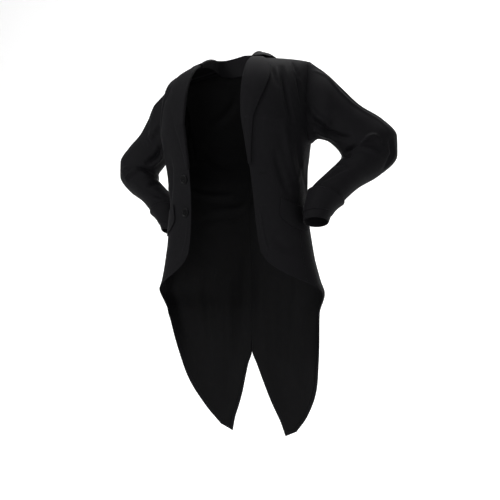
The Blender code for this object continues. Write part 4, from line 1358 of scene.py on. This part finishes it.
def make_backdrop(stage):
    """A pale floor that turns up behind in a quarter circle: one section carried sideways."""
    floor = CAD_BOX[0][2] - stage.floor_drop
    back, bend = stage.backdrop_distance, BACKDROP_BEND
    turn = np.linspace(0, np.pi / 2, BACKDROP_BEND_ROWS)
    y = np.concatenate([[BACKDROP_FRONT], back - bend + bend * np.sin(turn), [back]])
    z = np.concatenate([[0.0], bend - bend * np.cos(turn), [BACKDROP_TOP]]) + floor
    left = np.stack([np.full_like(y, -BACKDROP_HALF_WIDTH), y, z], -1)
    points = np.stack([left, mirrored(left, -1)], 1).reshape(-1, 3)
    row = np.arange(len(y) - 1) * 2
    quads = np.stack([row, row + 1, row + 3, row + 2], 1)
    mesh = bpy.data.meshes.new("backdrop")
    mesh.from_pydata(points.tolist(), [], quads.tolist())
    mesh.shade_smooth()
    paper, shader = plain_material("pale_paper", PAPER_ROUGHNESS, 0.0)
    shader.inputs["Base Color"].default_value = PAPER_COLOUR
    shader.inputs["Emission Color"].default_value = WHITE
    shader.inputs["Emission Strength"].default_value = stage.paper_glow
    mesh.materials.append(paper)
    sweep = bpy.data.objects.new("backdrop", mesh)
    bpy.context.scene.collection.objects.link(sweep)
    sweep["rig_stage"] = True


def make_stage():
    """The backdrop, an even room light, soft round lamps, and the camera."""
    scene = bpy.context.scene
    stage = scene.tailcoat_stage
    make_backdrop(stage)
    world = bpy.data.worlds.new("studio")
    world.use_nodes = True
    background = world.node_tree.nodes["Background"]
    background.inputs["Color"].default_value = WHITE
    background.inputs["Strength"].default_value = stage.room_light
    scene.world = world
    for lamp in LAMPS:
        light = bpy.data.lights.new(lamp.name, "AREA")
        light.shape = "DISK"
        light.size = lamp.size
        light.energy = stage.key_power * lamp.share
        link_facing(lamp.name, light, lamp.place, Vector(lamp.target) - Vector(lamp.place))
    azimuth, elevation = np.radians(CAMERA_AZIMUTH), np.radians(CAMERA_ELEVATION)
    level = np.cos(elevation)
    away = np.array([np.sin(azimuth) * level, -np.cos(azimuth) * level, np.sin(elevation)])
    lens = bpy.data.cameras.new("camera")
    lens.sensor_width = CAMERA_SENSOR
    lens.lens = CAMERA_LENS
    place = np.array(CAMERA_TARGET) + away * CAMERA_DISTANCE
    scene.camera = link_facing("camera", lens, place, -away)
    scene.view_settings.view_transform = "Standard"


# Add-on


class TailcoatCloth(bpy.types.PropertyGroup):
    wool_colour: bpy.props.FloatVectorProperty(
        name="Wool colour",
        description="Colour of the outer cloth",
        subtype="COLOR",
        size=3,
        default=(0.0023, 0.0022, 0.0027),
    )
    lining_colour: bpy.props.FloatVectorProperty(
        name="Lining colour",
        description="Colour of the lining",
        subtype="COLOR",
        size=3,
        default=(0.0022, 0.0022, 0.0024),
    )
    crease_depth: bpy.props.FloatProperty(
        name="Crease depth",
        description="Share of each crease's own depth",
        default=1.25,
        min=0.0,
        max=2.0,
    )


class TailcoatButtons(bpy.types.PropertyGroup):
    radius: bpy.props.FloatProperty(
        name="Button radius",
        description="Radius of the front buttons",
        default=BUTTON_RADIUS,
        unit="LENGTH",
    )
    colour: bpy.props.FloatVectorProperty(
        name="Button colour",
        description="Colour of the horn",
        subtype="COLOR",
        size=3,
        default=(0.0016, 0.0016, 0.0018),
    )


class TailcoatStage(bpy.types.PropertyGroup):
    floor_drop: bpy.props.FloatProperty(
        name="Floor drop",
        description="Height of the tails above the floor",
        default=0.35,
        unit="LENGTH",
    )
    backdrop_distance: bpy.props.FloatProperty(
        name="Backdrop distance",
        description="How far the backdrop is behind the coat",
        default=3.2,
        unit="LENGTH",
    )
    paper_glow: bpy.props.FloatProperty(
        name="Backdrop glow",
        description="Light that the backdrop gives of its own",
        default=0.52,
        min=0.0,
    )
    room_light: bpy.props.FloatProperty(
        name="Room light",
        description="Strength of the even light all round",
        default=0.22,
        min=0.0,
    )
    key_power: bpy.props.FloatProperty(
        name="Key power",
        description="Power of the key lamp",
        default=95.0,
        min=0.0,
        unit="POWER",
    )


class TAILCOAT_OT_panels(bpy.types.Operator):
    """Fronts, side bodies and backs with their tails"""

    bl_idname = "tailcoat.panels"
    bl_label = "Fronts, sides and backs"

    def execute(self, context):
        for side in (1, -1):
            make_panels(side)
        return {"FINISHED"}


class TAILCOAT_OT_sleeves(bpy.types.Operator):
    """Upper and under sleeves and turned-back cuffs"""

    bl_idname = "tailcoat.sleeves"
    bl_label = "Sleeves and cuffs"

    def execute(self, context):
        for side in (1, -1):
            make_sleeve(side)
        return {"FINISHED"}


class TAILCOAT_OT_collar(bpy.types.Operator):
    """Collar and rolled lapels"""

    bl_idname = "tailcoat.collar"
    bl_label = "Collar and lapels"

    def execute(self, context):
        make_collar()
        for side in (1, -1):
            make_lapel(side)
        return {"FINISHED"}


class TAILCOAT_OT_flaps(bpy.types.Operator):
    """Slanted pocket flaps"""

    bl_idname = "tailcoat.flaps"
    bl_label = "Pocket flaps"

    def execute(self, context):
        for side in (1, -1):
            make_flap(side)
        return {"FINISHED"}


class TAILCOAT_OT_linings(bpy.types.Operator):
    """Back and side linings"""

    bl_idname = "tailcoat.linings"
    bl_label = "Linings"

    def execute(self, context):
        for side in (1, -1):
            make_linings(side)
        return {"FINISHED"}


class TAILCOAT_OT_buttons(bpy.types.Operator):
    """Buttons with their sewing, and worked buttonholes"""

    bl_idname = "tailcoat.buttons"
    bl_label = "Buttons and buttonholes"

    def execute(self, context):
        for node, height in BUTTON_HEIGHTS.items():
            make_button(node, height)
        for number, height in enumerate(BUTTONHOLE_HEIGHTS):
            make_buttonhole(number + 1, height)
        return {"FINISHED"}


class TAILCOAT_OT_stage(bpy.types.Operator):
    """Floor, backdrop, lamps and camera"""

    bl_idname = "tailcoat.stage"
    bl_label = "Stage"

    def execute(self, context):
        make_stage()
        return {"FINISHED"}


OPERATORS = [
    TAILCOAT_OT_panels,
    TAILCOAT_OT_sleeves,
    TAILCOAT_OT_collar,
    TAILCOAT_OT_flaps,
    TAILCOAT_OT_linings,
    TAILCOAT_OT_buttons,
    TAILCOAT_OT_stage,
]
GROUPS = {
    "tailcoat_cloth": TailcoatCloth,
    "tailcoat_buttons": TailcoatButtons,
    "tailcoat_stage": TailcoatStage,
}


class TAILCOAT_PT_panel(bpy.types.Panel):
    """The tailcoat's sizes, colours and operators"""

    bl_idname = "TAILCOAT_PT_panel"
    bl_label = "White tie tailcoat"
    bl_space_type = "VIEW_3D"
    bl_region_type = "UI"
    bl_category = "Tailcoat"

    def draw(self, context):
        for group_name in GROUPS:
            group = getattr(context.scene, group_name)
            for key in group.bl_rna.properties.keys():
                if key not in ("rna_type", "name"):
                    self.layout.prop(group, key)
        for operator in OPERATORS:
            self.layout.operator(operator.bl_idname)


def register():
    """Registers the groups, operators and panel, and gives every scene the groups."""
    for kind in [*GROUPS.values(), *OPERATORS, TAILCOAT_PT_panel]:
        bpy.utils.register_class(kind)
    for name, group in GROUPS.items():
        setattr(bpy.types.Scene, name, bpy.props.PointerProperty(type=group))


def unregister():
    """Takes them away again."""
    for name in GROUPS:
        delattr(bpy.types.Scene, name)
    for kind in reversed([*GROUPS.values(), *OPERATORS, TAILCOAT_PT_panel]):
        bpy.utils.unregister_class(kind)


def visual_box():
    """Lowest and highest corners of what shows."""
    corners = [
        piece.matrix_world @ Vector(corner)
        for piece in bpy.context.scene.objects
        if piece.type == "MESH" and not piece.hide_render and not piece.get("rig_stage")
        for corner in piece.bound_box
    ]
    spots = np.array([tuple(corner) for corner in corners])
    return [spots.min(0).tolist(), spots.max(0).tolist()]


def main():
    """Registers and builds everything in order."""
    register()
    for operator in OPERATORS:
        category, name = operator.bl_idname.split(".")
        getattr(getattr(bpy.ops, category), name)()
    bpy.context.view_layer.update()
    boxes = [[list(map(float, corner)) for corner in CAD_BOX], visual_box()]


if __name__ == "__main__":
    main()
